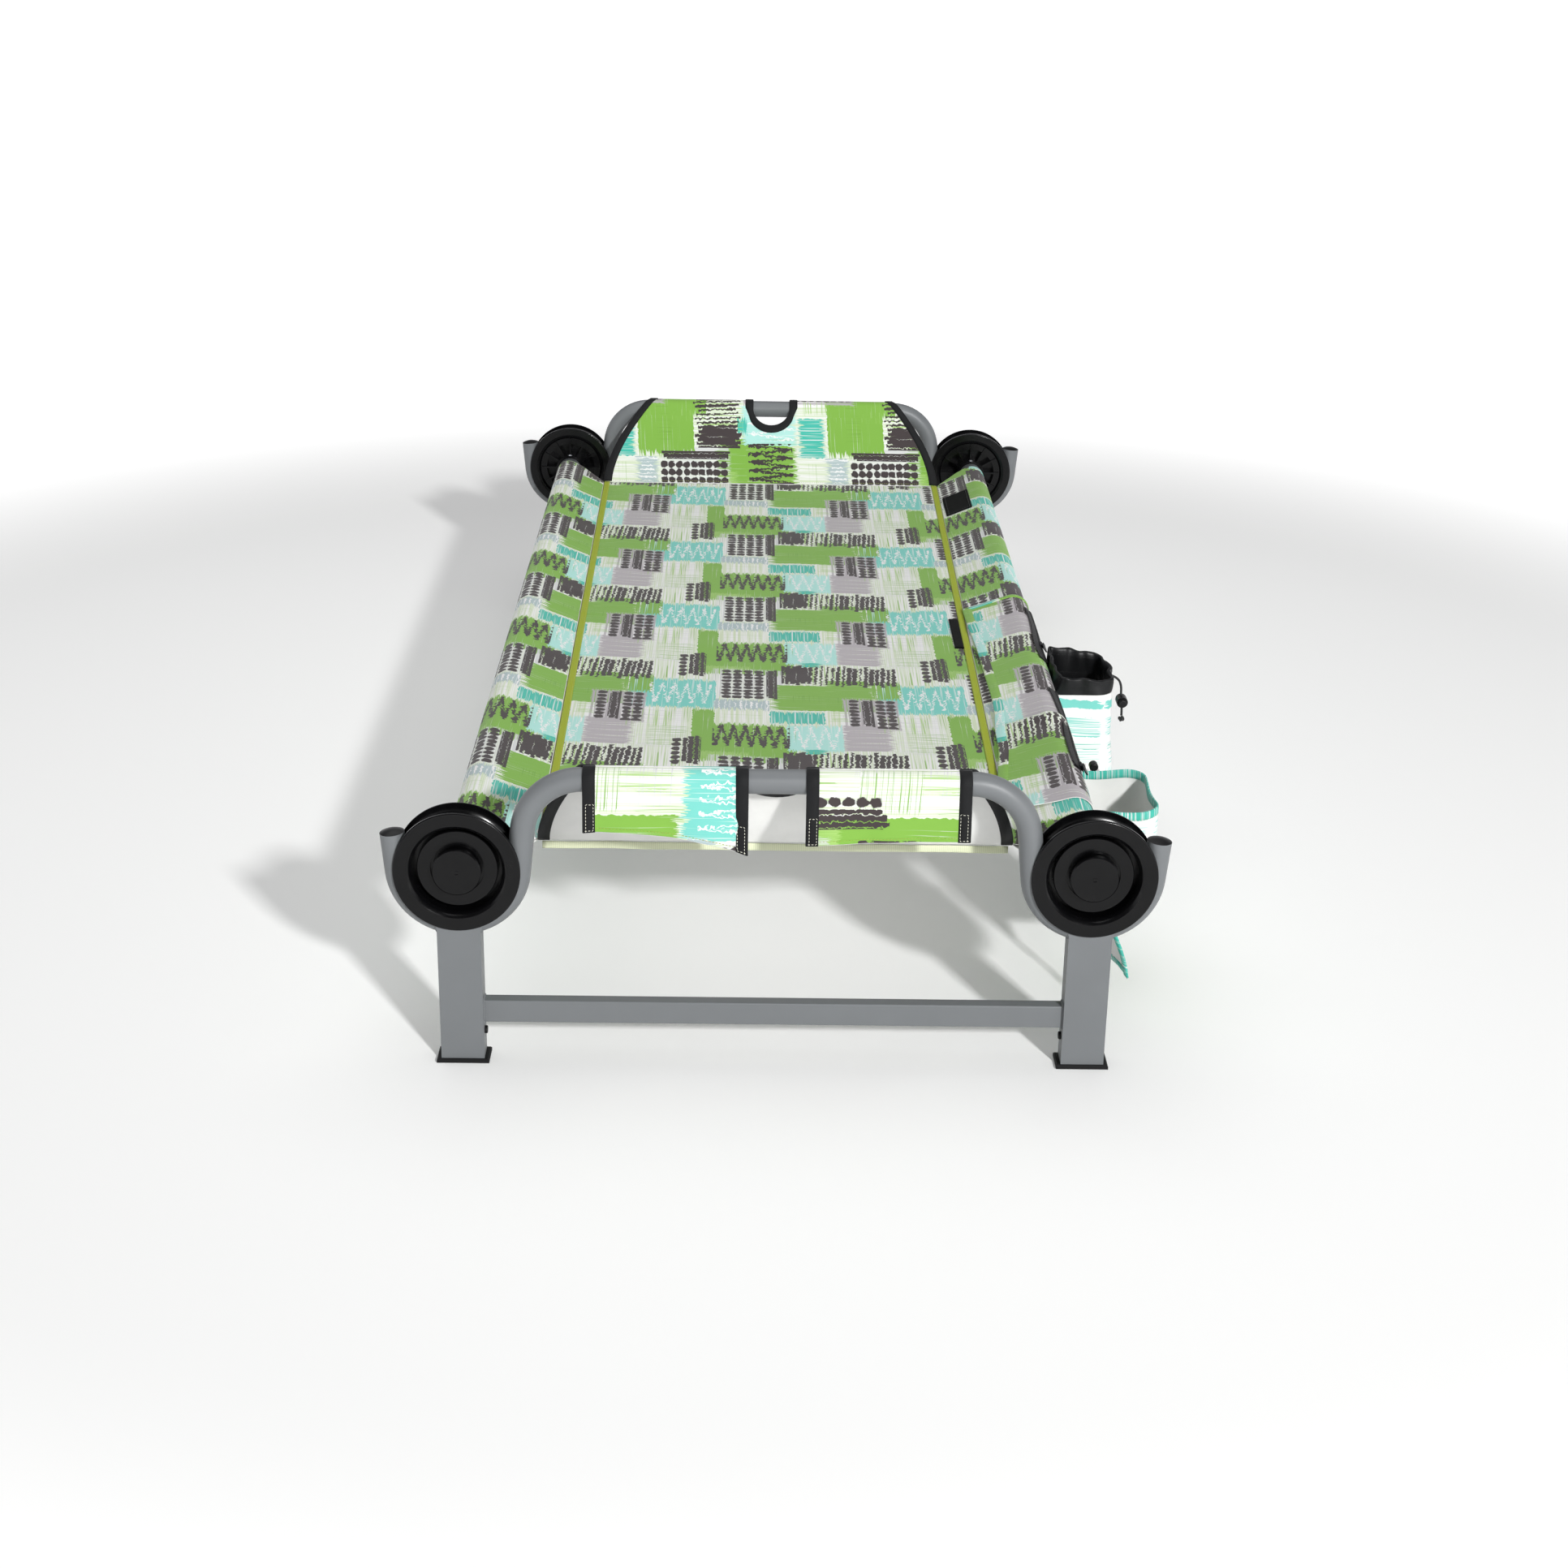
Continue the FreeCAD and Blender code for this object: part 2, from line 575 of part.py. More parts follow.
def flap(side):
    """Foot flap: folds from the arch's crown and hangs on its outer face."""
    outer_drop, inner_drop = flap_drops[side]
    first = 90 - math.degrees(hinge_gap / wrap_inner)

    def wrap(radius, degrees):
        turn = math.radians(degrees)
        return Vector(0, -end_plane - radius * math.cos(turn), arch_z + radius * math.sin(turn))

    hem = arch_z - max(outer_drop, inner_drop) - fabric
    edges = [arc(wrap(wrap_inner, first), wrap(wrap_inner, first / 2), wrap(wrap_inner, 0)),
             line(wrap(wrap_inner, 0), Vector(0, -end_plane - wrap_inner, hem)),
             line(Vector(0, -end_plane - wrap_inner, hem), Vector(0, -end_plane - wrap_outer, hem)),
             line(Vector(0, -end_plane - wrap_outer, hem), wrap(wrap_outer, 0)),
             arc(wrap(wrap_outer, 0), wrap(wrap_outer, first / 2), wrap(wrap_outer, first)),
             line(wrap(wrap_outer, first), wrap(wrap_inner, first))]
    sheet = face(edges).extrude(Vector(panel_top_half, 0, 0))
    outline = polygon([Vector(notch_half, -half_length - 9, arch_z - inner_drop),
                       Vector(panel_top_half, -half_length - 9, arch_z - outer_drop),
                       Vector(panel_top_half, -half_length - 9, arch_z + 2 * tube_r),
                       Vector(notch_half, -half_length - 9, arch_z + 2 * tube_r)])
    return sheet.common(outline.extrude(Vector(0, seam_inset, 0)))


def build_fabric():
    save("deck", deck())
    for side in SIDES:
        save(side + "_sleeve", on_side(sleeve(), side))
        save(side + "_seam_tape", on_side(seam_tape(), side))
    save("foot_end_panel", end_panel(deck_half_foot))
    save("head_end_panel", to_head(end_panel(deck_half_head)))
    for end in ("foot", "head"):
        for side in SIDES:
            save("%s_%s_flap" % (end, side), at_end(on_side(flap(side), side), end))


# ---- organiser ---------------------------------------------------------------------------------
def organizer_panel():
    """Sheet over the right rail: up the sleeve's slope, round the rail and down outside it."""
    narrowest = deck_half(organizer_foot)
    slope = tangent_angle(narrowest, deck_z + fabric / 2, rail_x, rail_height, sleeve_outer, 1)
    normal = slope + 90
    turn = math.radians(slope)
    along = Vector(math.cos(turn), 0, math.sin(turn))
    y = organizer_foot
    inner_top = on_circle(rail_x, rail_height, organizer_inner_r, normal, y)
    outer_top = on_circle(rail_x, rail_height, organizer_outer_r, normal, y)
    run = (rail_x - organizer_inner) / math.cos(turn)
    hem = rail_height - organizer_drop
    inner_x, outer_x = rail_x + organizer_inner_r, organizer_face
    edges = [line(inner_top - along * run, inner_top),
             arc(inner_top, on_circle(rail_x, rail_height, organizer_inner_r, normal / 2, y),
                 Vector(inner_x, y, rail_height)),
             line(Vector(inner_x, y, rail_height), Vector(inner_x, y, hem)),
             line(Vector(inner_x, y, hem), Vector(outer_x, y, hem)),
             line(Vector(outer_x, y, hem), Vector(outer_x, y, rail_height)),
             arc(Vector(outer_x, y, rail_height),
                 on_circle(rail_x, rail_height, organizer_outer_r, normal / 2, y), outer_top),
             line(outer_top, outer_top - along * run),
             line(outer_top - along * run, inner_top - along * run)]
    sheet = face(edges).extrude(Vector(0, organizer_head - organizer_foot, 0))
    corner = polygon([Vector(inner_x, organizer_foot, rail_height - 50),
                      Vector(inner_x, corner_foot, rail_height - corner_drop),
                      Vector(inner_x, organizer_foot + 60, hem),
                      Vector(inner_x, organizer_foot + 60, rail_height - 50)])
    return sheet.fuse(corner.extrude(Vector(pocket_fabric, 0, 0))).removeSplitter()


def open_pocket():
    """Open-topped pocket near the foot end."""
    top, low, t = rail_height, rail_height - pocket_depth, pocket_fabric
    outer = Part.Face(rounded_plan(organizer_face, pocket_reach, pocket_foot, pocket_head, low,
                                   pocket_corner)).extrude(Vector(0, 0, top - low))
    inner = Part.Face(rounded_plan(organizer_face + t, pocket_reach - t, pocket_foot + t,
                                   pocket_head - t, low + t,
                                   pocket_corner - t)).extrude(Vector(0, 0, top - low))
    return outer.cut(inner)


def pouch_outline(inset, z, foot):
    return rounded_plan(organizer_face + inset, pocket_reach - inset, foot + inset,
                        pouch_head - inset, z, pocket_corner - inset)


def bottle_pouch():
    """Printed pouch body, longer at its base than at its mouth."""
    top, low = rail_height - pouch_top_drop, rail_height - pouch_drop
    t = pocket_fabric
    outer = Part.makeLoft([pouch_outline(0, low, pouch_base_foot),
                           pouch_outline(0, top, pouch_foot)], True, True)
    inner = Part.makeLoft([pouch_outline(t, low + t, pouch_base_foot),
                           pouch_outline(t, top + 0.01, pouch_foot)], True, True)
    return outer.cut(inner)


def pouch_collar():
    """Thin drawstring collar standing on the pouch's mouth."""
    low, t = rail_height - pouch_top_drop, pocket_fabric
    outer = Part.Face(pouch_outline(0, low, pouch_foot)).extrude(Vector(0, 0, collar_rise))
    inner = Part.Face(pouch_outline(t, low, pouch_foot)).extrude(Vector(0, 0, collar_rise))
    return outer.cut(inner)


def zipper(run):
    """Tape and teeth, lying on the organiser where it turns over the rail."""
    foot, head = run
    half = zipper_width / 2
    strip = box((-half, foot, 0), (half, head, 1.2)).fuse(box((-1.5, foot, 1.2), (1.5, head, 2.2)))
    strip = strip.removeSplitter()
    strip.rotate(ORIGIN, Y_AXIS, 90 - zipper_angle)
    strip.translate(on_circle(rail_x, rail_height, organizer_outer_r + slip, zipper_angle))
    return strip


def zipper_slider(park):
    """Slider parked on the teeth, its pull tab lying towards the foot end."""
    low = 2.2 + slip
    body = box((-4, park - 6, low), (4, park + 6, low + 2.5))
    body = body.makeFillet(1.0, [e for e in body.Edges if abs(e.CenterOfMass.z - low - 2.5) < 0.01])
    bridge = box((-1.5, park - 5, low + 2.5), (1.5, park + 3, low + 4.0))
    tab = box((-2.5, park - 26, low + 2.2), (2.5, park - 5, low + 3.7))
    tab = tab.makeFillet(1.5, [e for e in tab.Edges if abs(e.tangentAt(0).z) > 0.9
                               and e.CenterOfMass.y < park - 20])
    slider = body.fuse(bridge).fuse(tab).removeSplitter()
    slider.rotate(ORIGIN, Y_AXIS, 90 - zipper_angle)
    slider.translate(on_circle(rail_x, rail_height, organizer_outer_r + slip, zipper_angle))
    return slider


def cord_wire(points):
    """Straight runs joined by tangent arcs, each as large as its two runs allow."""
    edges, radii = [], []
    start = points[0]
    for before, corner, after in zip(points, points[1:], points[2:]):
        back, ahead = before - corner, after - corner
        shorter = min(back.Length, ahead.Length)
        turn = math.pi - back.getAngle(ahead)
        trim = 0.45 * shorter
        radius = trim / math.tan(turn / 2)
        radii.append(radius)
        enter = corner + back.normalize() * trim
        leave = corner + ahead.normalize() * trim
        towards = (enter + leave) * 0.5 - corner
        depth = radius / math.cos(turn / 2) - radius
        edges += [line(start, enter), arc(enter, corner + towards.normalize() * depth, leave)]
        start = leave
    edges.append(line(start, points[-1]))
    return Part.Wire(edges), radii


def lock_place():
    """Middle of the cord lock and the cord's heading through it."""
    a, b = Vector(*cord_route[3]), Vector(*cord_route[4])
    return (a + b) * 0.5, (b - a).normalize()


def plunger_radius():
    return lock_radius - 2.0


def plunger_end():
    """How far the plunger reaches past the cord's centre, in the resting state."""
    return cord_diameter / 2 + 3 * slip + 0.6


def cord_lock():
    """Barrel across the cord, bored for the cord and for its plunger from the foot side."""
    centre, heading = lock_place()
    half = lock_length / 2
    barrel = Part.makeCylinder(lock_radius, lock_length, centre - Vector(0, half, 0), Y_AXIS)
    barrel = barrel.makeFillet(2.5, [e for e in barrel.Edges
                                     if abs(e.CenterOfMass.y - centre.y - half) < 0.01])
    well = Part.makeCylinder(plunger_radius() + slip, lock_length - lock_wall,
                             centre - Vector(0, half, 0), Y_AXIS)
    hole = Part.makeCylinder(cord_diameter / 2 + slip, 6 * lock_radius,
                             centre - heading * 3 * lock_radius, heading)
    return barrel.cut(well).cut(hole)


def cord_lock_plunger():
    """Button with a window that the cord passes through."""
    centre = lock_place()[0]
    low, high = centre.y - lock_length / 2 - lock_button, centre.y + plunger_end()
    stem = Part.makeCylinder(plunger_radius(), high - low, Vector(centre.x, low, centre.z), Y_AXIS)
    stem = stem.makeFillet(1.5, [e for e in stem.Edges if abs(e.CenterOfMass.y - low) < 0.01])
    slot = cord_diameter / 2 + 2 * slip
    window = box((centre.x - slot, centre.y - slot - lock_stroke, centre.z - lock_radius),
                 (centre.x + slot, centre.y + slot, centre.z + lock_radius))
    return stem.cut(window)


def cord_lock_spring():
    """Little spring behind the plunger, drawn as the envelope of its closed coils."""
    centre = lock_place()[0]
    base = Vector(centre.x, centre.y + plunger_end(), centre.z)
    outer = Part.makeCylinder(plunger_radius() - 1.6, lock_spring, base, Y_AXIS)
    return outer.cut(Part.makeCylinder(plunger_radius() - 2.6, lock_spring, base, Y_AXIS))


def pocket_toggle():
    """Small moulded toggle on the open pocket's far wall."""
    base = Vector(organizer_face + toggle_out, pocket_head + slip,
                  rail_height + toggle_radius - 2.0)
    bead = Part.makeCylinder(toggle_radius, toggle_length, base, Y_AXIS)
    return bead.makeFillet(2.0, [e for e in bead.Edges if e.Length > 20])


def hook_patch():
    """Hook-and-loop patch on the right sleeve near the head seam."""
    foot, head = patch_run
    start = deck_half_head + patch_from_seam
    edge = deck_half(foot)
    slope = tangent_angle(edge, deck_z + fabric / 2, rail_x, rail_height, sleeve_outer, 1)
    patch = box((0, foot, 0), (patch_width, head, trim_height))
    patch.rotate(ORIGIN, Y_AXIS, -slope)
    lift = (start - edge) * math.tan(math.radians(slope)) + slip
    patch.translate(Vector(start, 0, deck_z + fabric / 2 + lift))
    return patch


def hook_strip():
    """Dark strip on the deck beside the seam that holds the organiser's inner edge."""
    foot, head = strip_run
    outer = deck_half(foot) - tape_width - slip
    low = deck_z + fabric / 2
    return box((outer - strip_width, foot, low), (outer, head, low + trim_height))


def build_organizer():
    save("organizer_panel", organizer_panel())
    save("open_pocket", open_pocket())
    save("bottle_pouch", bottle_pouch())
    save("pouch_collar", pouch_collar())
    save("organizer_zippers", *[zipper(run) for run in zipper_runs.values()])
    for end, park in slider_parks.items():
        save(end + "_zipper_slider", zipper_slider(park))
    save("pocket_toggle", pocket_toggle())
    save("hook_patch", hook_patch())
    save("hook_strip", hook_strip())


def build_drawcord():
    points = [Vector(*p) for p in cord_route]
    route, radii = cord_wire(points)
    cord = swept(route, cord_diameter / 2)
    section = math.pi * cord_diameter ** 2 / 4
    print("drawcord radii", [round(r, 1) for r in radii], "length %.1f" % route.Length,
          "volume/section %.1f" % (cord.Volume / section))
    save("drawcord", cord)
    heading = (points[-1] - points[-2]).normalize()
    knot = Part.makeSphere(knot_radius, points[-1] + heading * (knot_radius - 0.5))
    save("drawcord_knot", knot.cut(cord))
    save("cord_lock", cord_lock())
    save("cord_lock_plunger", cord_lock_plunger())
    save("cord_lock_spring", cord_lock_spring())


def main():
    os.makedirs("parts", exist_ok=True)
    build_end_frames()
    build_rails()
    build_fabric()
    build_organizer()
    build_drawcord()
    print("centre_x %.3f arch_z %.3f shoulder_x %.3f" % (centre_x, arch_z, shoulder_x))


main()
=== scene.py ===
"""Looks of a knock-down camp cot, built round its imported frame: printed cloth, edge bindings,
organiser pockets, drawcord, welds, stitches, materials and a plain studio."""
import math
import bmesh
import bpy
from bpy.props import FloatProperty, FloatVectorProperty
from mathutils import Matrix, Vector, noise


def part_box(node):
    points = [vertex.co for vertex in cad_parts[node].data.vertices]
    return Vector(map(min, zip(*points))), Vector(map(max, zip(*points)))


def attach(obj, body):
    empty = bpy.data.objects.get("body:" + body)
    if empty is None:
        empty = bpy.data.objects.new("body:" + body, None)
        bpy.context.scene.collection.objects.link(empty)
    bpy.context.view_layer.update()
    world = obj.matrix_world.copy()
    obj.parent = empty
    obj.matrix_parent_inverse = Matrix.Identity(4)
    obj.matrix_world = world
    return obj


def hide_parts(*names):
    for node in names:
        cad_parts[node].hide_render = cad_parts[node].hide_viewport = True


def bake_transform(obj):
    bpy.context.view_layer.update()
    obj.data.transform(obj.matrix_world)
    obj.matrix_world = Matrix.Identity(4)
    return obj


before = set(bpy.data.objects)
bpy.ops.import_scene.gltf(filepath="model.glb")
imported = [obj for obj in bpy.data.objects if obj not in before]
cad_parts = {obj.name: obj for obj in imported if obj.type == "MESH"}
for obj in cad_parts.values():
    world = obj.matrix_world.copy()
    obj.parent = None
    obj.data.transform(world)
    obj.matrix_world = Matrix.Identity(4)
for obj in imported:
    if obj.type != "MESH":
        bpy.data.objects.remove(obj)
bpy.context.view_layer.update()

bl_info = {"name": "Camp cot looks", "version": (1, 0, 0), "blender": (4, 5, 0),
           "location": "3D View > Sidebar > Cot",
           "description": "Cloth, trim, materials and studio for a disc-jointed camp cot",
           "category": "Object",}

MM = 0.001
ENDS = {"foot": -1, "head": 1}
SIDES = {"left": -1, "right": 1}


# ---- places, read from the frame ---------------------------------------------------------------
def middle(node):
    low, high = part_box(node)
    return (low + high) / 2


LEFT_DISC, RIGHT_DISC = middle("left_foot_disc"), middle("right_foot_disc")
CENTRE_X = (LEFT_DISC.x + RIGHT_DISC.x) / 2
RAIL_X, RAIL_Z = (RIGHT_DISC.x - LEFT_DISC.x) / 2, RIGHT_DISC.z
TUBE_LOW, TUBE_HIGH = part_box("foot_frame_tube")
TUBE_R = (TUBE_HIGH.y - TUBE_LOW.y) / 2
END_PLANE = -middle("foot_frame_tube").y
ARCH_Z = TUBE_HIGH.z - TUBE_R
CRADLE_R = RAIL_Z - (TUBE_LOW.z + TUBE_R)
DECK_LOW, DECK_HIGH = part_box("deck")
CLOTH = DECK_HIGH.z - DECK_LOW.z
DECK_Z, DECK_TOP = middle("deck").z, DECK_HIGH.z
SEAM_Y = DECK_HIGH.y
HALF_HEAD = (DECK_HIGH.x - DECK_LOW.x) / 2
PANEL_LOW, PANEL_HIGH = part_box("foot_end_panel")
HALF_FOOT = (PANEL_HIGH.x - PANEL_LOW.x) / 2
SLEEVE_LOW, SLEEVE_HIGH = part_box("right_sleeve")
SLEEVE_WALL = 1.2 * MM
SLEEVE_R = SLEEVE_HIGH.x - RIGHT_DISC.x - SLEEVE_WALL / 2
SLEEVE_FOOT, SLEEVE_HEAD = SLEEVE_LOW.y, SLEEVE_HIGH.y
WRAP_R = TUBE_R + 0.3 * MM + CLOTH / 2
PANEL_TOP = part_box("foot_right_flap")[1].x - CENTRE_X
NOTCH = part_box("foot_right_flap")[0].x - CENTRE_X
NOTCH_DROP = 20 * MM
OUTER_DROP = {"left": 51 * MM, "right": 57 * MM}     # of a flap's outer edge, below the arch
ORG_LOW, ORG_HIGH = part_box("organizer_panel")
ORG_FACE = ORG_HIGH.x - CENTRE_X
ORG_WALL = 1.2 * MM
ORG_R = ORG_FACE - RAIL_X - ORG_WALL / 2
ORG_CORNER, ORG_HEAD = ORG_LOW.y, ORG_HIGH.y
POUCH_LOW, POUCH_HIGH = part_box("bottle_pouch")
COLLAR_LOW, COLLAR_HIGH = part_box("pouch_collar")
POCKET_LOW, POCKET_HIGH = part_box("open_pocket")
LEG_LOW, LEG_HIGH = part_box("foot_right_leg")
BAR_LOW, BAR_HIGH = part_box("foot_crossbar")
PATCH_LOW, PATCH_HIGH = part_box("hook_patch")
STRIP_LOW, STRIP_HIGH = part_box("hook_strip")
TAPE_WIDTH = 9 * MM
BINDING_WIDTH = 12 * MM
FIN_HEIGHT = 8 * MM
CORD_DIAMETER = 3 * MM
CORD_ROUTE = [(413.607, -205.0, 222.0), (421.607, -206.0, 219.0), (426.107, -207.0, 209.5),
              (426.107, -208.5, 197.0), (428.107, -209.5, 184.0), (428.107, -211.0, 171.0)]


def at(x, y, z):
    """A point from its distance to the cot's centre line."""
    return Vector((CENTRE_X + x, y, z))


def blend_in(value, low, high):
    """0 below low, 1 above high, smooth between."""
    t = min(1.0, max(0.0, (value - low) / (high - low)))
    return t * t * (3 - 2 * t)


def ripple(x, y, size, seed=0.0):
    """Smooth uneven wave, -1 to 1, with bumps about size metres apart."""
    return noise.noise(Vector((x / size, y / size, seed)))


def steps(low, high, count):
    return [low + (high - low) * i / count for i in range(count + 1)]


# ---- meshes ------------------------------------------------------------------------------------
def linked(name, data):
    """A new object of some data, in the scene."""
    item = bpy.data.objects.new(name, data)
    bpy.context.scene.collection.objects.link(item)
    return item


def mesh_piece(name, points, faces, uvs, finishes, closed=False):
    data = bpy.data.meshes.new(name)
    data.from_pydata([tuple(p) for p in points], [], faces)
    layer = data.uv_layers.new(name="Cloth")
    for loop in data.loops:
        layer.data[loop.index].uv = uvs[loop.vertex_index]
    if closed:
        shell = bmesh.new()
        shell.from_mesh(data)
        bmesh.ops.recalc_face_normals(shell, faces=shell.faces)
        shell.to_mesh(data)
        shell.free()
    data.polygons.foreach_set("use_smooth", [True] * len(data.polygons))
    for finish in finishes:
        data.materials.append(FINISHES[finish])
    return linked(name, data)


def quads(rows, columns, ring=False):
    """Faces of a grid whose columns may close into a ring."""
    last = columns if ring else columns - 1
    return [(r * columns + c, r * columns + (c + 1) % columns, (r + 1) * columns + (c + 1) % columns,
             (r + 1) * columns + c) for r in range(rows - 1) for c in range(last)]


def settle(item):
    """Apply an object's modifiers; a curve becomes a mesh piece of the same name."""
    graph = bpy.context.evaluated_depsgraph_get()
    data = bpy.data.meshes.new_from_object(item.evaluated_get(graph), preserve_all_data_layers=True,
                                           depsgraph=graph)
    if item.type == "MESH":
        item.modifiers.clear()
        item.data = data
        return item
    name = item.name
    bpy.data.objects.remove(item)
    return linked(name, data)


def cloth(name, rows, front, wall=CLOTH, back="white", ring=False, faces_in=False, cut=()):
    """A sheet from rows of (point, uv), given its thickness and smoothed; cut faces are left out."""
    columns = len(rows[0])
    points = [point for row in rows for point, uv in row]
    uvs = [uv for row in rows for point, uv in row]
    faces = [face for i, face in enumerate(quads(len(rows), columns, ring)) if i not in cut]
    if faces_in:
        faces = [face[::-1] for face in faces]
    item = mesh_piece(name, points, faces, uvs, [front, back])
    merged = bmesh.new()
    merged.from_mesh(item.data)
    bmesh.ops.remove_doubles(merged, verts=merged.verts, dist=0.02 * MM)
    merged.to_mesh(item.data)
    merged.free()
    wall_step = item.modifiers.new("Wall", "SOLIDIFY")
    wall_step.thickness, wall_step.offset = wall, 0
    wall_step.use_even_offset = False
    wall_step.material_offset = 1
    wall_step.material_offset_rim = 1
    finer = item.modifiers.new("Smooth", "SUBSURF")
    finer.levels = finer.render_levels = 1
    finer.boundary_smooth = "PRESERVE_CORNERS"
    return settle(item)


def sweep(name, path, sides, normals, section, finish, closed=False):
    """A solid strip: section points (along side, along normal) carried down a path."""
    points, uvs, run = [], [], 0.0
    for i, (place, side, normal) in enumerate(zip(path, sides, normals)):
        run += (place - path[i - 1]).length if i else 0.0
        across = 0.0
        for k, (a, b) in enumerate(section):
            across += math.dist(section[k - 1], (a, b)) if k else 0.0
            points.append(place + side * a + normal * b)
            uvs.append((across, run))
    count, rows = len(section), len(path)
    faces = quads(rows, count, True)
    if closed:
        faces += [((rows - 1) * count + k, (rows - 1) * count + (k + 1) % count, (k + 1) % count, k)
                  for k in range(count)]
    else:
        faces += [tuple(range(count)), tuple((rows - 1) * count + k for k in range(count))]
    return mesh_piece(name, points, faces, uvs, [finish], closed=True)


def frames_along(path, normals):
    """Side vectors of a path, square to its heading and its normals."""
    sides = []
    for i in range(len(path)):
        heading = path[min(i + 1, len(path) - 1)] - path[max(i - 1, 0)]
        sides.append(heading.cross(normals[i]).normalized())
    return sides


def strip_section(width, height, base=0.0):
    """Flat strip with a soft crown, from -width/2 to width/2."""
    half = width / 2
    top = [(half * t, base + height * (1 - 0.35 * abs(t) ** 4)) for t in steps(1, -1, 8)]
    return [(half, base)] + top + [(-half, base)]


def fold_section(width, wall):
    """Tape folded over an edge: the edge is at 0 and the cloth lies towards +side."""
    out = wall / 2 + 0.8 * MM
    upper = [(width, wall / 2), (width - 0.4 * MM, out), (width * 0.55, out * 1.08), (0, out),
             (-0.8 * MM, out * 0.7)]
    return upper + [(-1.1 * MM, 0)] + [(a, -b) for a, b in reversed(upper)]


# ---- repeats along a line ----------------------------------------------------------------------
def repeat_tree():
    """Geometry nodes: a rounded grain at every pitch along a curve, turned along it."""
    tree = bpy.data.node_groups.new("Grains along a line", "GeometryNodeTree")
    sockets = (("Geometry", "NodeSocketGeometry"), ("Pitch", "NodeSocketFloat"),
               ("Size", "NodeSocketVector"), ("Detail", "NodeSocketInt"),
               ("Finish", "NodeSocketMaterial"))
    for name, kind in sockets:
        tree.interface.new_socket(name, in_out="INPUT", socket_type=kind)
    tree.interface.new_socket("Geometry", in_out="OUTPUT", socket_type="NodeSocketGeometry")
    start = add(tree, "NodeGroupInput")
    spaced = add(tree, "GeometryNodeResampleCurve",
                 {"Curve": start.outputs["Geometry"], "Length": start.outputs["Pitch"]}, mode="LENGTH")
    grain = add(tree, "GeometryNodeMeshIcoSphere",
                {"Radius": 0.5, "Subdivisions": start.outputs["Detail"]})
    turned = add(tree, "FunctionNodeAlignRotationToVector",
                 {"Vector": add(tree, "GeometryNodeInputTangent")}, axis="X")
    placed = add(tree, "GeometryNodeInstanceOnPoints",
                 {"Points": spaced, "Instance": grain, "Rotation": turned,
                  "Scale": start.outputs["Size"]})
    real = add(tree, "GeometryNodeRealizeInstances", {"Geometry": placed})
    soft = add(tree, "GeometryNodeSetShadeSmooth", {"Geometry": real})
    named = add(tree, "GeometryNodeSetMaterial", {"Geometry": soft,
                                                  "Material": start.outputs["Finish"]})
    add(tree, "NodeGroupOutput", {"Geometry": named})
    return tree


def grains(name, lines, pitch, size, finish, detail=1):
    """One mesh of small grains (stitches, teeth or weld ripples) along several lines."""
    data = bpy.data.curves.new(name, "CURVE")
    data.dimensions = "3D"
    for line in lines:
        spline = data.splines.new("POLY")
        spline.points.add(len(line) - 1)
        for point, place in zip(spline.points, line):
            point.co = (*place, 1)
    item = linked(name, data)
    tree = bpy.data.node_groups.get("Grains along a line") or repeat_tree()
    step = item.modifiers.new("Grains", "NODES")
    step.node_group = tree
    values = {"Pitch": pitch, "Size": size, "Detail": detail, "Finish": FINISHES[finish]}
    for socket in tree.interface.items_tree:
        if socket.in_out == "INPUT" and socket.name in values:
            step[socket.identifier] = values[socket.name]
    return settle(item)


def stitches(name, lines, finish):
    """Sewn thread along lines."""
    look = bpy.context.scene.cot_cloth
    pitch, width = look.stitch_pitch, look.stitch_width
    return grains(name, lines, pitch, (pitch * 0.8, width, width * 0.8), finish)


# ---- materials ---------------------------------------------------------------------------------
def linear(code, share=1.0, haze=0.0):
    """Linear RGBA of an sRGB hex colour, made lighter or darker by a share and hazed over."""
    parts = [int(code[i:i + 2], 16) / 255 for i in (1, 3, 5)]
    return (*(min(1.0, (c / 12.92 if c <= 0.04045 else ((c + 0.055) / 1.055) ** 2.4) * share + haze)
              for c in parts), 1.0)


def add(tree, kind, inputs=(), operation=None, **settings):
    """Add a node with its settings; an input takes a value, a socket, or a node's first output."""
    item = tree.nodes.new(kind if "Node" in kind else "ShaderNode" + kind)
    if operation:
        item.operation = operation
    for key, value in settings.items():
        setattr(item, key, value)
    for key, value in inputs.items() if isinstance(inputs, dict) else enumerate(inputs):
        if isinstance(value, bpy.types.Node):
            value = value.outputs[0]
        if isinstance(value, bpy.types.NodeSocket):
            tree.links.new(value, item.inputs[key])
        else:
            item.inputs[key].default_value = value
    return item


def new_finish(name, shader):
    """A material of one Principled shader; returns it with its tree and shader node."""
    finish = bpy.data.materials.new(name)
    finish.use_nodes = True
    tree = finish.node_tree
    tree.nodes.clear()
    surface = add(tree, "BsdfPrincipled", shader)
    add(tree, "OutputMaterial", {"Surface": surface})
    return finish, tree, surface


def connect(tree, surface, **sources):
    """Link sources, each a socket or a node's first output, to the shader."""
    for key, source in sources.items():
        socket = source.outputs[0] if isinstance(source, bpy.types.Node) else source
        tree.links.new(socket, surface.inputs[key.replace("_", " ")])


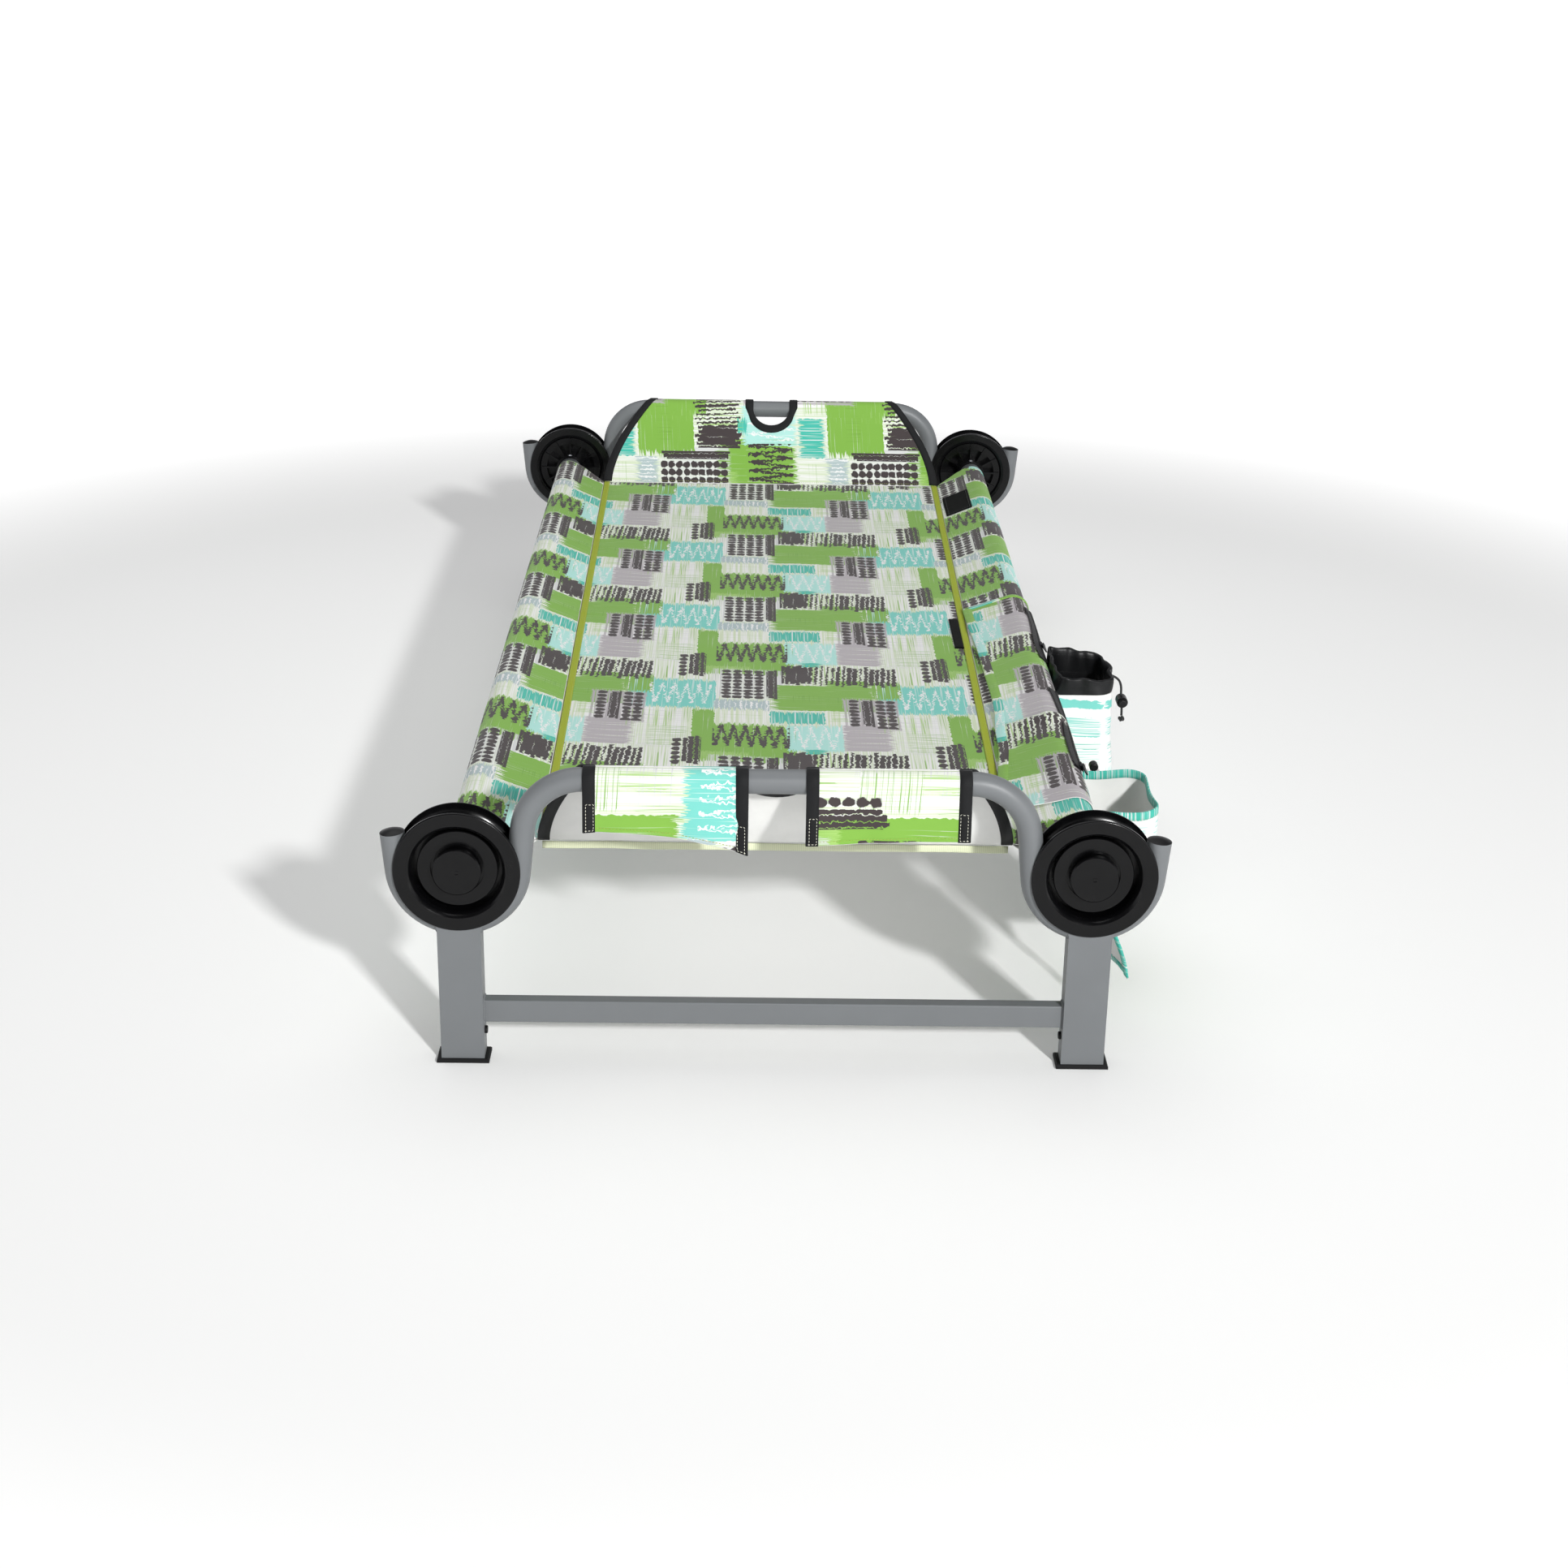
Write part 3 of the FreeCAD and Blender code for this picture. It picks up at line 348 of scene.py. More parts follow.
def powder_coat(name, code):
    """Polyester powder coat on steel: fine orange peel and a soft satin gloss."""
    finish, tree, surface = new_finish(name, {"Roughness": 0.42, "Specular IOR Level": 0.45})
    place = add(tree, "TexCoord").outputs["Object"]
    # Real peel is 0.5 to 1 mm; drawn at 1.6 mm so that it shows.
    peel = add(tree, "TexNoise", {"Vector": place, "Scale": 620.0, "Detail": 2.0})
    haze = add(tree, "TexNoise", {"Vector": place, "Scale": 22.0, "Detail": 4.0})
    tint = add(tree, "Mix", {"Factor": haze, 6: linear(code, 0.93), 7: linear(code, 1.07)},
               data_type="RGBA")
    gloss = add(tree, "MapRange", {"Value": haze, "To Min": 0.36, "To Max": 0.5})
    bump = add(tree, "Bump", {"Height": peel, "Strength": 0.12, "Distance": 0.2 * MM})
    connect(tree, surface, Base_Color=tint.outputs[2], Roughness=gloss, Normal=bump)
    return finish


def moulded(name, code, rough, grain=900.0, depth=0.1):
    """Injection-moulded plastic: fine spark texture, and gloss that handling has varied."""
    finish, tree, surface = new_finish(name, {"Base Color": linear(code), "Roughness": rough,
                                              "Specular IOR Level": 0.24})
    place = add(tree, "TexCoord").outputs["Object"]
    spark = add(tree, "TexNoise", {"Vector": place, "Scale": grain, "Detail": 3.0})
    wear = add(tree, "TexNoise", {"Vector": place, "Scale": 45.0, "Detail": 5.0, "Roughness": 0.65})
    gloss = add(tree, "MapRange", {"Value": wear, "From Min": 0.3, "From Max": 0.7,
                                   "To Min": rough - 0.07, "To Max": rough + 0.09})
    dust = add(tree, "Mix", {"Factor": wear, 6: linear(code), 7: linear(code, 1.35, 0.001)},
               data_type="RGBA")
    bump = add(tree, "Bump", {"Height": spark, "Strength": depth, "Distance": 0.1 * MM})
    connect(tree, surface, Base_Color=dust.outputs[2], Roughness=gloss, Normal=bump)
    return finish


def plated(name, code, rough):
    """Zinc-plated steel, bright with a faintly mottled passivation."""
    finish, tree, surface = new_finish(name, {"Base Color": linear(code), "Metallic": 1.0,
                                              "Roughness": rough})
    place = add(tree, "TexCoord").outputs["Object"]
    mottle = add(tree, "TexNoise", {"Vector": place, "Scale": 180.0, "Detail": 4.0})
    gloss = add(tree, "MapRange", {"Value": mottle, "To Min": rough - 0.1, "To Max": rough + 0.15})
    bump = add(tree, "Bump", {"Height": mottle, "Strength": 0.08, "Distance": 0.1 * MM})
    connect(tree, surface, Roughness=gloss, Normal=bump)
    return finish


def weave_bump(tree, place, spacing, strength):
    """Plain weave: crossed thread waves under a little slub."""
    warp = add(tree, "TexWave", {"Vector": place, "Scale": 0.314 / spacing}, bands_direction="X")
    weft = add(tree, "TexWave", {"Vector": place, "Scale": 0.314 / spacing}, bands_direction="Y")
    crossed = add(tree, "Math", (warp.outputs["Fac"], weft.outputs["Fac"]), "MULTIPLY")
    slub = add(tree, "TexNoise", {"Vector": place, "Scale": 0.12 / spacing, "Detail": 3.0})
    height = add(tree, "Math", (crossed, slub), "ADD")
    return add(tree, "Bump", {"Height": height, "Strength": strength, "Distance": 0.25 * MM})


def plain_cloth(name, code, spacing=1.0 * MM, rough=0.8, sheen=0.15, strength=0.25):
    """Woven polyester, dyed or coated: matt, with a faint sheen and cloudy dye."""
    finish, tree, surface = new_finish(name, {"Roughness": rough, "Sheen Weight": sheen,
                                              "Sheen Roughness": 0.5, "Specular IOR Level": 0.25})
    place = add(tree, "UVMap", uv_map="Cloth")
    cloud = add(tree, "TexNoise", {"Vector": place, "Scale": 30.0, "Detail": 3.0})
    tint = add(tree, "Mix", {"Factor": cloud, 6: linear(code, 0.9), 7: linear(code, 1.1)},
               data_type="RGBA")
    weave = weave_bump(tree, place, spacing, strength)
    connect(tree, surface, Base_Color=tint.outputs[2], Normal=weave)
    return finish


def ribbed_tape(name, code, rib=1.4 * MM, rough=0.7):
    """Grosgrain tape: ribs across its length, with painted highlight on their crowns and painted shade
    between them.
    """
    finish, tree, surface = new_finish(name, {"Roughness": rough, "Sheen Weight": 0.05,
                                              "Specular IOR Level": 0.25})
    place = add(tree, "UVMap", uv_map="Cloth")
    ribs = add(tree, "TexWave", {"Vector": place, "Scale": 0.314 / rib, "Distortion": 0.3},
               bands_direction="Y")
    # Painted light and shade: the colour follows the ribs' height, lighter on the crowns and darker in
    # the troughs.
    tint = add(tree, "Mix", {"Factor": ribs.outputs["Fac"], 6: linear(code, 0.82),
                             7: linear(code, 1.12)}, data_type="RGBA")
    bump = add(tree, "Bump", {"Height": ribs.outputs["Fac"], "Strength": 0.35, "Distance": 0.2 * MM})
    connect(tree, surface, Base_Color=tint.outputs[2], Normal=bump)
    return finish


def ripstop(name, code):
    """Thin coated nylon: shiny folds and a reinforcing grid every 5 mm."""
    finish, tree, surface = new_finish(name, {"Base Color": linear(code), "Roughness": 0.42,
                                              "Specular IOR Level": 0.3})
    place = add(tree, "UVMap", uv_map="Cloth")
    grid = add(tree, "TexBrick", {"Vector": place, "Scale": 1.0, "Mortar Size": 0.0004,
                                  "Brick Width": 5 * MM, "Row Height": 5 * MM}, offset=0.0)
    crease = add(tree, "TexNoise", {"Vector": place, "Scale": 70.0, "Detail": 4.0})
    height = add(tree, "Math", (grid.outputs["Fac"], crease), "ADD")
    bump = add(tree, "Bump", {"Height": height, "Strength": 0.3, "Distance": 0.4 * MM})
    gloss = add(tree, "MapRange", {"Value": crease, "To Min": 0.32, "To Max": 0.55})
    connect(tree, surface, Roughness=gloss, Normal=bump)
    return finish


def hook_tape(name, code):
    """Hook-and-loop tape: a dense pile of tiny hooks, drawn at 1.2 mm so that they show."""
    finish, tree, surface = new_finish(name, {"Base Color": linear(code), "Roughness": 0.9,
                                              "Sheen Weight": 0.02, "Specular IOR Level": 0.1})
    place = add(tree, "TexCoord").outputs["Object"]
    hooks = add(tree, "TexVoronoi", {"Vector": place, "Scale": 830.0})
    bump = add(tree, "Bump", {"Height": hooks.outputs["Distance"], "Strength": 0.8,
                              "Distance": 0.6 * MM})
    connect(tree, surface, Normal=bump)
    return finish


def thread(name, code):
    """Twisted polyester sewing thread."""
    finish, tree, surface = new_finish(name, {"Base Color": linear(code), "Roughness": 0.6,
                                              "Sheen Weight": 0.2})
    place = add(tree, "TexCoord").outputs["Object"]
    twist = add(tree, "TexNoise", {"Vector": place, "Scale": 1500.0})
    bump = add(tree, "Bump", {"Height": twist, "Strength": 0.3, "Distance": 0.1 * MM})
    connect(tree, surface, Normal=bump)
    return finish


def braid(name, code):
    """Braided polyester cord: diagonal plaits both ways round it."""
    finish, tree, surface = new_finish(name, {"Base Color": linear(code), "Roughness": 0.65,
                                              "Sheen Weight": 0.2})
    place = add(tree, "TexCoord").outputs["UV"]
    left = add(tree, "TexWave", {"Vector": add(tree, "Mapping",
                                               {"Vector": place, "Scale": (30, 2, 1)}), "Scale": 0.5},
               bands_direction="DIAGONAL")
    right = add(tree, "TexWave", {"Vector": add(tree, "Mapping",
                                                {"Vector": place, "Scale": (30, -2, 1)}),
                                  "Scale": 0.5}, bands_direction="DIAGONAL")
    plait = add(tree, "Math", (left.outputs["Fac"], right.outputs["Fac"]), "MAXIMUM")
    bump = add(tree, "Bump", {"Height": plait, "Strength": 0.5, "Distance": 0.3 * MM})
    connect(tree, surface, Normal=bump)
    return finish


# ---- the print ---------------------------------------------------------------------------------
TILE = (307.0, 305.0)          # repeat of the print, millimetres
PRINT_ORIGIN = (243.0, 142.0)   # of the deck's middle in the tile
WHITE, LIGHT_GREY, WARM_GREY = "#dededd", "#c6c6c8", "#a8a2a6"
BLUE_GREY, CHARCOAL, PALE_GROUND = "#a3b3b5", "#3a3233", "#c3cfb0"
GREEN, LIGHT_GREEN, DEEP_GREEN = "#76a53f", "#93b963", "#5f8c33"
AQUA, DEEP_AQUA, PALE_AQUA = "#6fc0b5", "#3fae9d", "#a4d4cc"
PRINT_SKEW = 0.06              # the cloth is cut a little off its grain
SOLID_SHARE = 0.78             # of a wash's solidness that the brush's hairlines leave

# Brushed washes: colour, left, right, top, bottom (down the tile is towards the foot end), how
# solid the paint is, and whether its hairlines run up or across.
WASHES = ((LIGHT_GREY, 74, 145, 188, 311, 0.62, "across"),
          (WARM_GREY, 15, 76, 222, 305, 0.95, "across"), (GREEN, 145, 172, 178, 331, 0.97, "up"),
          (GREEN, 145, 270, 225, 352, 0.98, "up"), (LIGHT_GREEN, 150, 215, 318, 352, 0.8, "up"),
          (PALE_AQUA, 258, 325, 222, 310, 0.9, "up"), (DEEP_AQUA, 277, 305, 301, 317, 0.95, "across"),
          (LIGHT_GREY, 165, 255, 22, 140, 0.7, "up"), (GREEN, 94, 172, 15, 80, 0.55, "up"),
          (AQUA, 64, 172, 73, 177, 0.92, "up"), (GREEN, 240, 371, 82, 172, 0.98, "across"),
          (DEEP_GREEN, 262, 330, 110, 150, 0.55, "up"),
          (LIGHT_GREEN, 290, 362, 71, 120, 0.55, "across"), (WARM_GREY, 20, 88, 125, 235, 0.85, "up"),
          (BLUE_GREY, 170, 238, 141, 177, 0.95, "up"), (GREEN, 169, 238, 177, 215, 0.5, "across"),
          (DEEP_AQUA, 238, 305, 177, 219, 0.9, "up"),
          (LIGHT_GREEN, 305, 340, 168, 210, 0.65, "across"), (GREEN, 118, 169, 165, 232, 0.55, "up"),
          (GREEN, 0, 60, 60, 122, 0.95, "across"), (DEEP_GREEN, 160, 235, 240, 300, 0.45, "up"),
          (LIGHT_GREEN, 258, 332, -4, 76, 0.62, "up"), (GREEN, 58, 94, 58, 128, 0.85, "up"),
          (LIGHT_GREEN, 66, 118, 180, 250, 0.6, "up"), (GREEN, 88, 148, 240, 304, 0.62, "across"),)
# Combs of upright strokes: colour, left, right, top, bottom, slant, stroke pitch, and the least
# and most that a stroke fills of its pitch.
COMBS = ((CHARCOAL, -54, 91, 5, 81, 0.05, 7.0, 0.3, 1.0),
         (CHARCOAL, -54, -17, 8, 76, 0.0, 5.0, 0.8, 1.1),
         (CHARCOAL, 136, 158, -33, 58, 0.0, 7.0, 0.75, 1.1),
         (CHARCOAL, 234, 248, 26, 135, 0.0, 7.0, 0.9, 1.1),
         (CHARCOAL, 43, 57, 129, 225, 0.0, 7.0, 0.8, 1.1),
         (WHITE, 170, 238, 143, 176, 0.0, 6.5, 0.1, 0.5),)
# Columns of blots: colour, left, right, top, bottom, height of one blot, width of one column.
STACKS = ((CHARCOAL, 123, 135, -25, 60, 14.0, 12.0), (CHARCOAL, 178, 232, 30, 138, 12.0, 13.5),
          (CHARCOAL, 27, 40, 129, 225, 12.0, 13.0), (CHARCOAL, 59, 85, 129, 230, 13.0, 13.0),)
# Zigzag scribbles: colour, left, right, top, bottom, width of one zigzag, thickness of the line.
SCRIBBLES = ((WHITE, 89, 167, 89, 160, 15.0, 1.2), (WHITE, 266, 322, 226, 300, 17.0, 1.3),
             (CHARCOAL, 170, 262, 230, 302, 14.0, 2.3))
# The bottle pouch: turquoise bars on white above a grey field with blots.
POUCH_WASHES = ((WHITE, -60, 367, -60, 365, 1.4, "across"), (AQUA, 0, 307, 4, 15, 1.0, "across"),
                (AQUA, 0, 307, 26, 50, 0.72, "across"), (DEEP_AQUA, 0, 307, 56, 66, 0.66, "across"),
                (AQUA, 0, 307, 66, 84, 0.64, "across"), (WARM_GREY, 30, 300, 86, 200, 1.0, "up"),
                (PALE_AQUA, 0, 40, 88, 200, 0.8, "up"),)
POUCH_STACKS = ((CHARCOAL, 118, 172, 108, 180, 12.0, 18.0), (CHARCOAL, 60, 74, 100, 190, 12.0, 14.0))
# The open pocket: pale with aqua bars under a turquoise hem.
POCKET_WASHES = ((WHITE, -60, 367, -60, 365, 1.4, "across"), (AQUA, 0, 307, 10, 60, 0.66, "across"),
                 (GREEN, 0, 307, 60, 150, 0.9, "up"), (LIGHT_GREY, 60, 150, 8, 70, 0.6, "across"),)
# Hem folds of the open pocket and of the organiser's lower edges: brushed turquoise.
RIM_WASHES = ((WHITE, -60, 367, -60, 365, 1.4, "across"),
              (DEEP_AQUA, -60, 367, -60, 365, 0.86, "across"))


def print_group(build, extra):
    """A node group that lays one kind of mark over a base colour."""
    found = bpy.data.node_groups.get(build.__name__)
    if found:
        return found
    tree = bpy.data.node_groups.new(build.__name__, "ShaderNodeTree")
    sockets = [("Base", "NodeSocketColor"), ("Ink", "NodeSocketColor"), ("Place", "NodeSocketVector"),
               ("Centre", "NodeSocketVector"), ("Half", "NodeSocketVector")]
    for label, kind in sockets + [(label, "NodeSocketFloat") for label in extra]:
        tree.interface.new_socket(label, in_out="INPUT", socket_type=kind)
    tree.interface.new_socket("Colour", in_out="OUTPUT", socket_type="NodeSocketColor")
    start = add(tree, "NodeGroupInput")
    offset = add(tree, "VectorMath", (start.outputs["Place"], start.outputs["Centre"]), "SUBTRACT")
    reach = (TILE[0] / 2, TILE[1] / 2, 1.0)
    local = add(tree, "VectorMath", (offset, reach, tuple(-c for c in reach)), "WRAP")
    mask = build(tree, start.outputs, local)
    mixed = add(tree, "Mix", {"Factor": mask, 6: start.outputs["Base"], 7: start.outputs["Ink"]},
                data_type="RGBA")
    add(tree, "NodeGroupOutput", {"Colour": mixed.outputs[2]})
    return tree


def inside(tree, given, local, rag_x, rag_y):
    """1 inside the mark's ragged rectangle, in a soft edge half a millimetre wide."""
    rag = add(tree, "CombineXYZ", {"X": rag_x, "Y": rag_y, "Z": 1.0})
    size = add(tree, "VectorMath", (given["Half"], rag), "ADD")
    away = add(tree, "VectorMath", (local,), "ABSOLUTE")
    left = add(tree, "VectorMath", (size, away), "SUBTRACT")
    parts = add(tree, "SeparateXYZ", (left,))
    least = add(tree, "Math", (parts.outputs["X"], parts.outputs["Y"]), "MINIMUM")
    return add(tree, "Math", (least, 2.0), "MULTIPLY", use_clamp=True)


def wash_mask(tree, given, local):
    """Dry-brushed block: hairline gaps where the brush ran out of paint."""
    box = inside(tree, given, local, given["Rag X"], given["Rag Y"])
    gap = add(tree, "Math", (given["Solid"], given["Hair"]), "SUBTRACT")
    paint = add(tree, "Math", (gap, 7.0), "MULTIPLY", use_clamp=True)
    return add(tree, "Math", (box, paint), "MULTIPLY")


def comb_mask(tree, given, local):
    """Upright blunt strokes, each with its own width and length."""
    parts = add(tree, "SeparateXYZ", (local,))
    sway = add(tree, "Math", (given["Hair"], 9.0, parts.outputs["X"]), "MULTIPLY_ADD")
    lean = add(tree, "Math", (parts.outputs["Y"], given["Slant"], sway), "MULTIPLY_ADD")
    stroke = add(tree, "Math", (lean, given["Pitch"]), "DIVIDE")
    number = add(tree, "Math", (stroke,), "FLOOR")
    chance = add(tree, "TexWhiteNoise", {"W": number}, noise_dimensions="1D")
    width = add(tree, "MapRange", {"Value": chance.outputs["Value"], "To Min": given["Least"],
                                   "To Max": given["Most"]})
    again = add(tree, "Math", (number, 57.0), "ADD")
    second = add(tree, "TexWhiteNoise", {"W": again}, noise_dimensions="1D")
    reach = add(tree, "Math", (second.outputs["Value"], 10.0, -8.0), "MULTIPLY_ADD")
    box = inside(tree, given, local, 0.0, reach)
    across = add(tree, "Math", (stroke,), "FRACT")
    centred = add(tree, "Math", (across, 0.5), "SUBTRACT")
    away = add(tree, "Math", (centred,), "ABSOLUTE")
    half = add(tree, "Math", (width, 0.5), "MULTIPLY")
    short = add(tree, "Math", (half, away), "SUBTRACT")
    ink = add(tree, "Math", (short, 12.0, 0.5), "MULTIPLY_ADD", use_clamp=True)
    return add(tree, "Math", (box, ink), "MULTIPLY")


def stack_mask(tree, given, local):
    """Columns of round blots that nearly touch."""
    cell = add(tree, "CombineXYZ", {"X": given["Column"], "Y": given["Pitch"], "Z": 1.0})
    near = add(tree, "VectorMath", (given["Half"], local), "ADD")
    part = add(tree, "VectorMath", (near, cell), "DIVIDE")
    wobble = add(tree, "VectorMath", (part,), "FRACTION")
    blot = add(tree, "VectorMath", (wobble, (2.2, 2.0, 0.0), (-1.1, -1.0, 0.0)), "MULTIPLY_ADD")
    radius = add(tree, "VectorMath", (blot,), "LENGTH").outputs["Value"]
    ragged = add(tree, "Math", (given["Hair"], 1.1, 0.5), "MULTIPLY_ADD")
    short = add(tree, "Math", (ragged, radius), "SUBTRACT")
    ink = add(tree, "Math", (short, 6.0), "MULTIPLY", use_clamp=True)
    box = inside(tree, given, local, 0.5, 0.0)
    return add(tree, "Math", (box, ink), "MULTIPLY")


def scribble_mask(tree, given, local):
    """One line drawn up and down across the block."""
    parts = add(tree, "SeparateXYZ", (local,))
    size = add(tree, "SeparateXYZ", (given["Half"],))
    half = add(tree, "Math", (given["Pitch"], 0.5), "MULTIPLY")
    sway = add(tree, "Math", (given["Hair"], 14.0, parts.outputs["X"]), "MULTIPLY_ADD")
    fold = add(tree, "Math", (sway, half), "PINGPONG")
    level = add(tree, "Math", (parts.outputs["Y"], size.outputs["Y"]), "DIVIDE")
    unit = add(tree, "Math", (level, 0.5, 0.5), "MULTIPLY_ADD")
    line = add(tree, "Math", (unit, half), "MULTIPLY")
    away = add(tree, "Math", (fold, line), "SUBTRACT")
    near = add(tree, "Math", (away,), "ABSOLUTE")
    uneven = add(tree, "Math", (given["Hair"], 2.0), "MULTIPLY")
    thick = add(tree, "Math", (uneven, given["Thick"]), "MULTIPLY")
    short = add(tree, "Math", (thick, near), "SUBTRACT")
    ink = add(tree, "Math", (short, 1.5), "MULTIPLY", use_clamp=True)
    box = inside(tree, given, local, 0.0, 0.0)
    return add(tree, "Math", (box, ink), "MULTIPLY")


def printed_cloth(name, shift=(0.0, 0.0), washes=WASHES, combs=COMBS, stacks=STACKS,
                  scribbles=SCRIBBLES):
    """600-denier polyester with a brushed abstract transfer print: matt, plain weave."""
    finish, tree, surface = new_finish(name, {"Roughness": 0.72, "Sheen Weight": 0.12,
                                              "Sheen Roughness": 0.5, "Specular IOR Level": 0.3})
    map_node = add(tree, "UVMap", uv_map="Cloth")
    skewed = add(tree, "VectorMath", (map_node, (PRINT_SKEW, 1.0, 0.0)), "DOT_PRODUCT")
    straight = add(tree, "SeparateXYZ", (map_node,))
    cut = add(tree, "CombineXYZ", {"X": straight.outputs["X"], "Y": skewed.outputs["Value"]})
    place = add(tree, "VectorMath", (cut, (1 / MM, -1 / MM, 0.0),
                                     (PRINT_ORIGIN[0] + shift[0], -PRINT_ORIGIN[1] + shift[1], 0.0)),
                "MULTIPLY_ADD")
    tile = add(tree, "VectorMath", (place, (*TILE, 1.0), (0.0, 0.0, 0.0)), "WRAP")
    # Hairlines of the brush are about 1.5 mm wide and 150 mm long.
    across = add(tree, "TexNoise", {"Vector": add(tree, "Mapping",
                                                  {"Vector": tile, "Scale": (0.007, 0.5, 1)}),
                                    "Scale": 1.0, "Detail": 2.0})
    up = add(tree, "TexNoise", {"Vector": add(tree, "Mapping",
                                              {"Vector": tile, "Scale": (0.5, 0.007, 1)}),
                                "Scale": 1.0, "Detail": 2.0})
    blotch = add(tree, "TexNoise", {"Vector": tile, "Scale": 0.16, "Detail": 2.0})
    rag_x = add(tree, "Math", (across, 44.0, -24.0), "MULTIPLY_ADD")
    rag_y = add(tree, "Math", (up, 44.0, -24.0), "MULTIPLY_ADD")
    soft = add(tree, "Math", (blotch, 6.0, -3.0), "MULTIPLY_ADD")
    marks = []
    for *mark, solid, way in washes:
        ways = {"Rag X": soft, "Rag Y": rag_y} if way == "up" else {"Rag X": rag_x, "Rag Y": soft}
        marks.append((wash_mask, mark, {**ways, "Solid": solid * SOLID_SHARE,
                                        "Hair": up if way == "up" else across}))
    for kind, labels, table in ((comb_mask, ("Slant", "Pitch", "Least", "Most"), combs),
                                (stack_mask, ("Pitch", "Column"), stacks),
                                (scribble_mask, ("Pitch", "Thick"), scribbles)):
        marks += [(kind, mark[:5], {**dict(zip(labels, mark[5:])), "Hair": blotch}) for mark in table]
    ground = add(tree, "MapRange", {"Value": up, "From Min": 0.4, "From Max": 0.6})
    colour = add(tree, "Mix", {"Factor": ground, 6: linear(PALE_GROUND), 7: linear(WHITE)},
                 data_type="RGBA").outputs[2]
    for build, (code, x0, x1, y0, y1), extra in marks:
        colour = add(tree, "Group", {"Base": colour, "Ink": linear(code), "Place": place,
                                     "Centre": ((x0 + x1) / 2, (y0 + y1) / 2, 0.0),
                                     "Half": ((x1 - x0) / 2, (y1 - y0) / 2, 1.0), **extra},
                     node_tree=print_group(build, extra)).outputs[0]
    # The real threads are 0.5 mm apart; drawn at 1 mm so that they show.
    connect(tree, surface, Base_Color=colour, Normal=weave_bump(tree, map_node, 1.0 * MM, 0.22))
    return finish


FINISHES = {}


def make_finishes():
    FINISHES.update(
        coat=powder_coat("grey_powder_coated_steel", "#696c6e"),
        rail=powder_coat("rail_powder_coated_steel", "#4e5152"),
        disc=moulded("black_glossy_nylon", "#050506", 0.2, 700.0, 0.03),
        small=moulded("black_moulded_acetal", "#0c0c0d", 0.4),
        cap=moulded("black_soft_foot_plastic", "#0b0b0c", 0.6, 500.0, 0.2),
        zinc=plated("zinc_plated_steel", "#a6a9ad", 0.35),
        slider=plated("black_enamelled_zinc_alloy", "#26262a", 0.4),
        print=printed_cloth("printed_polyester"),
        print_organizer=printed_cloth("printed_polyester_organiser", (38.0, 60.0)),
        print_pocket=printed_cloth("printed_polyester_pocket", (0.0, PRINT_ORIGIN[1]),
                                   POCKET_WASHES, (), ()),
        print_pouch=printed_cloth("printed_polyester_pouch", (0.0, PRINT_ORIGIN[1]),
                                  POUCH_WASHES, (), POUCH_STACKS),
        print_rim=printed_cloth("printed_polyester_rim", (0.0, 0.0), RIM_WASHES, (), (), ()),
        white=plain_cloth("white_cloth_reverse", "#e3e3e0", sheen=0.1),
        tape=ribbed_tape("green_grosgrain_tape", "#98a41f"),
        fin=ribbed_tape("pale_seam_tape", "#cfd4b4"),
        binding=ribbed_tape("black_grosgrain_binding", "#0d0e10", rib=1.2 * MM),
        zip=ribbed_tape("black_zipper_tape", "#0b0b0d", rib=0.9 * MM),
        ripstop=ripstop("black_ripstop_nylon", "#08090b"),
        hooks=hook_tape("black_hook_tape", "#060607"),
        cord=braid("black_braided_cord", "#0c0c0d"),
        light_thread=thread("cream_thread", "#d9d8c8"),
        green_thread=thread("green_thread", "#93a33c"),
        black_thread=thread("black_thread", "#1c1d20"))


# ---- cloth shapes ------------------------------------------------------------------------------
def deck_half(y):
    """Half width of the flat deck at a place along the cot."""
    return HALF_FOOT + (y + SEAM_Y) / (2 * SEAM_Y) * (HALF_HEAD - HALF_FOOT)


def pucker(x, y):
    """Small gathers that the seams pull into the cloth, dying away from them."""
    near = min(abs(abs(x) - deck_half(y)), SEAM_Y - abs(y) + 0.004)
    fade = math.exp(-near / 0.028)
    side = abs(abs(x) - deck_half(y)) < SEAM_Y - abs(y)
    along = y if side else x
    wave = math.sin(along / 0.0062 + 3 * ripple(along, 0.0, 0.05, 2.0))
    return bpy.context.scene.cot_cloth.pucker * fade * wave * (0.4 + abs(ripple(along, 0, 0.08)))


def deck_rise(x, y):
    """Height of the deck's cloth over its flat place: gathers and long soft waves."""
    edge = min(1.0, (deck_half(y) - abs(x)) / 0.05)
    end = min(1.0, (SEAM_Y - abs(y)) / 0.08)
    waves = 1.6 * MM * ripple(x, y * 0.4, 0.11) + 0.8 * MM * ripple(x, y, 0.05, 5.0)
    sag = -3.0 * MM * (1 - (x / deck_half(y)) ** 2)
    return (waves + sag) * max(0.0, edge) * max(0.0, end) + pucker(x, y)


def tangent(px, pz, cx, cz, radius, way):
    """Angle from a point to the tangent above (1) or below (-1) a circle, and its length."""
    apart = math.hypot(cx - px, cz - pz)
    angle = math.atan2(cz - pz, cx - px) + way * math.asin(radius / apart)
    return angle, math.sqrt(apart * apart - radius * radius)


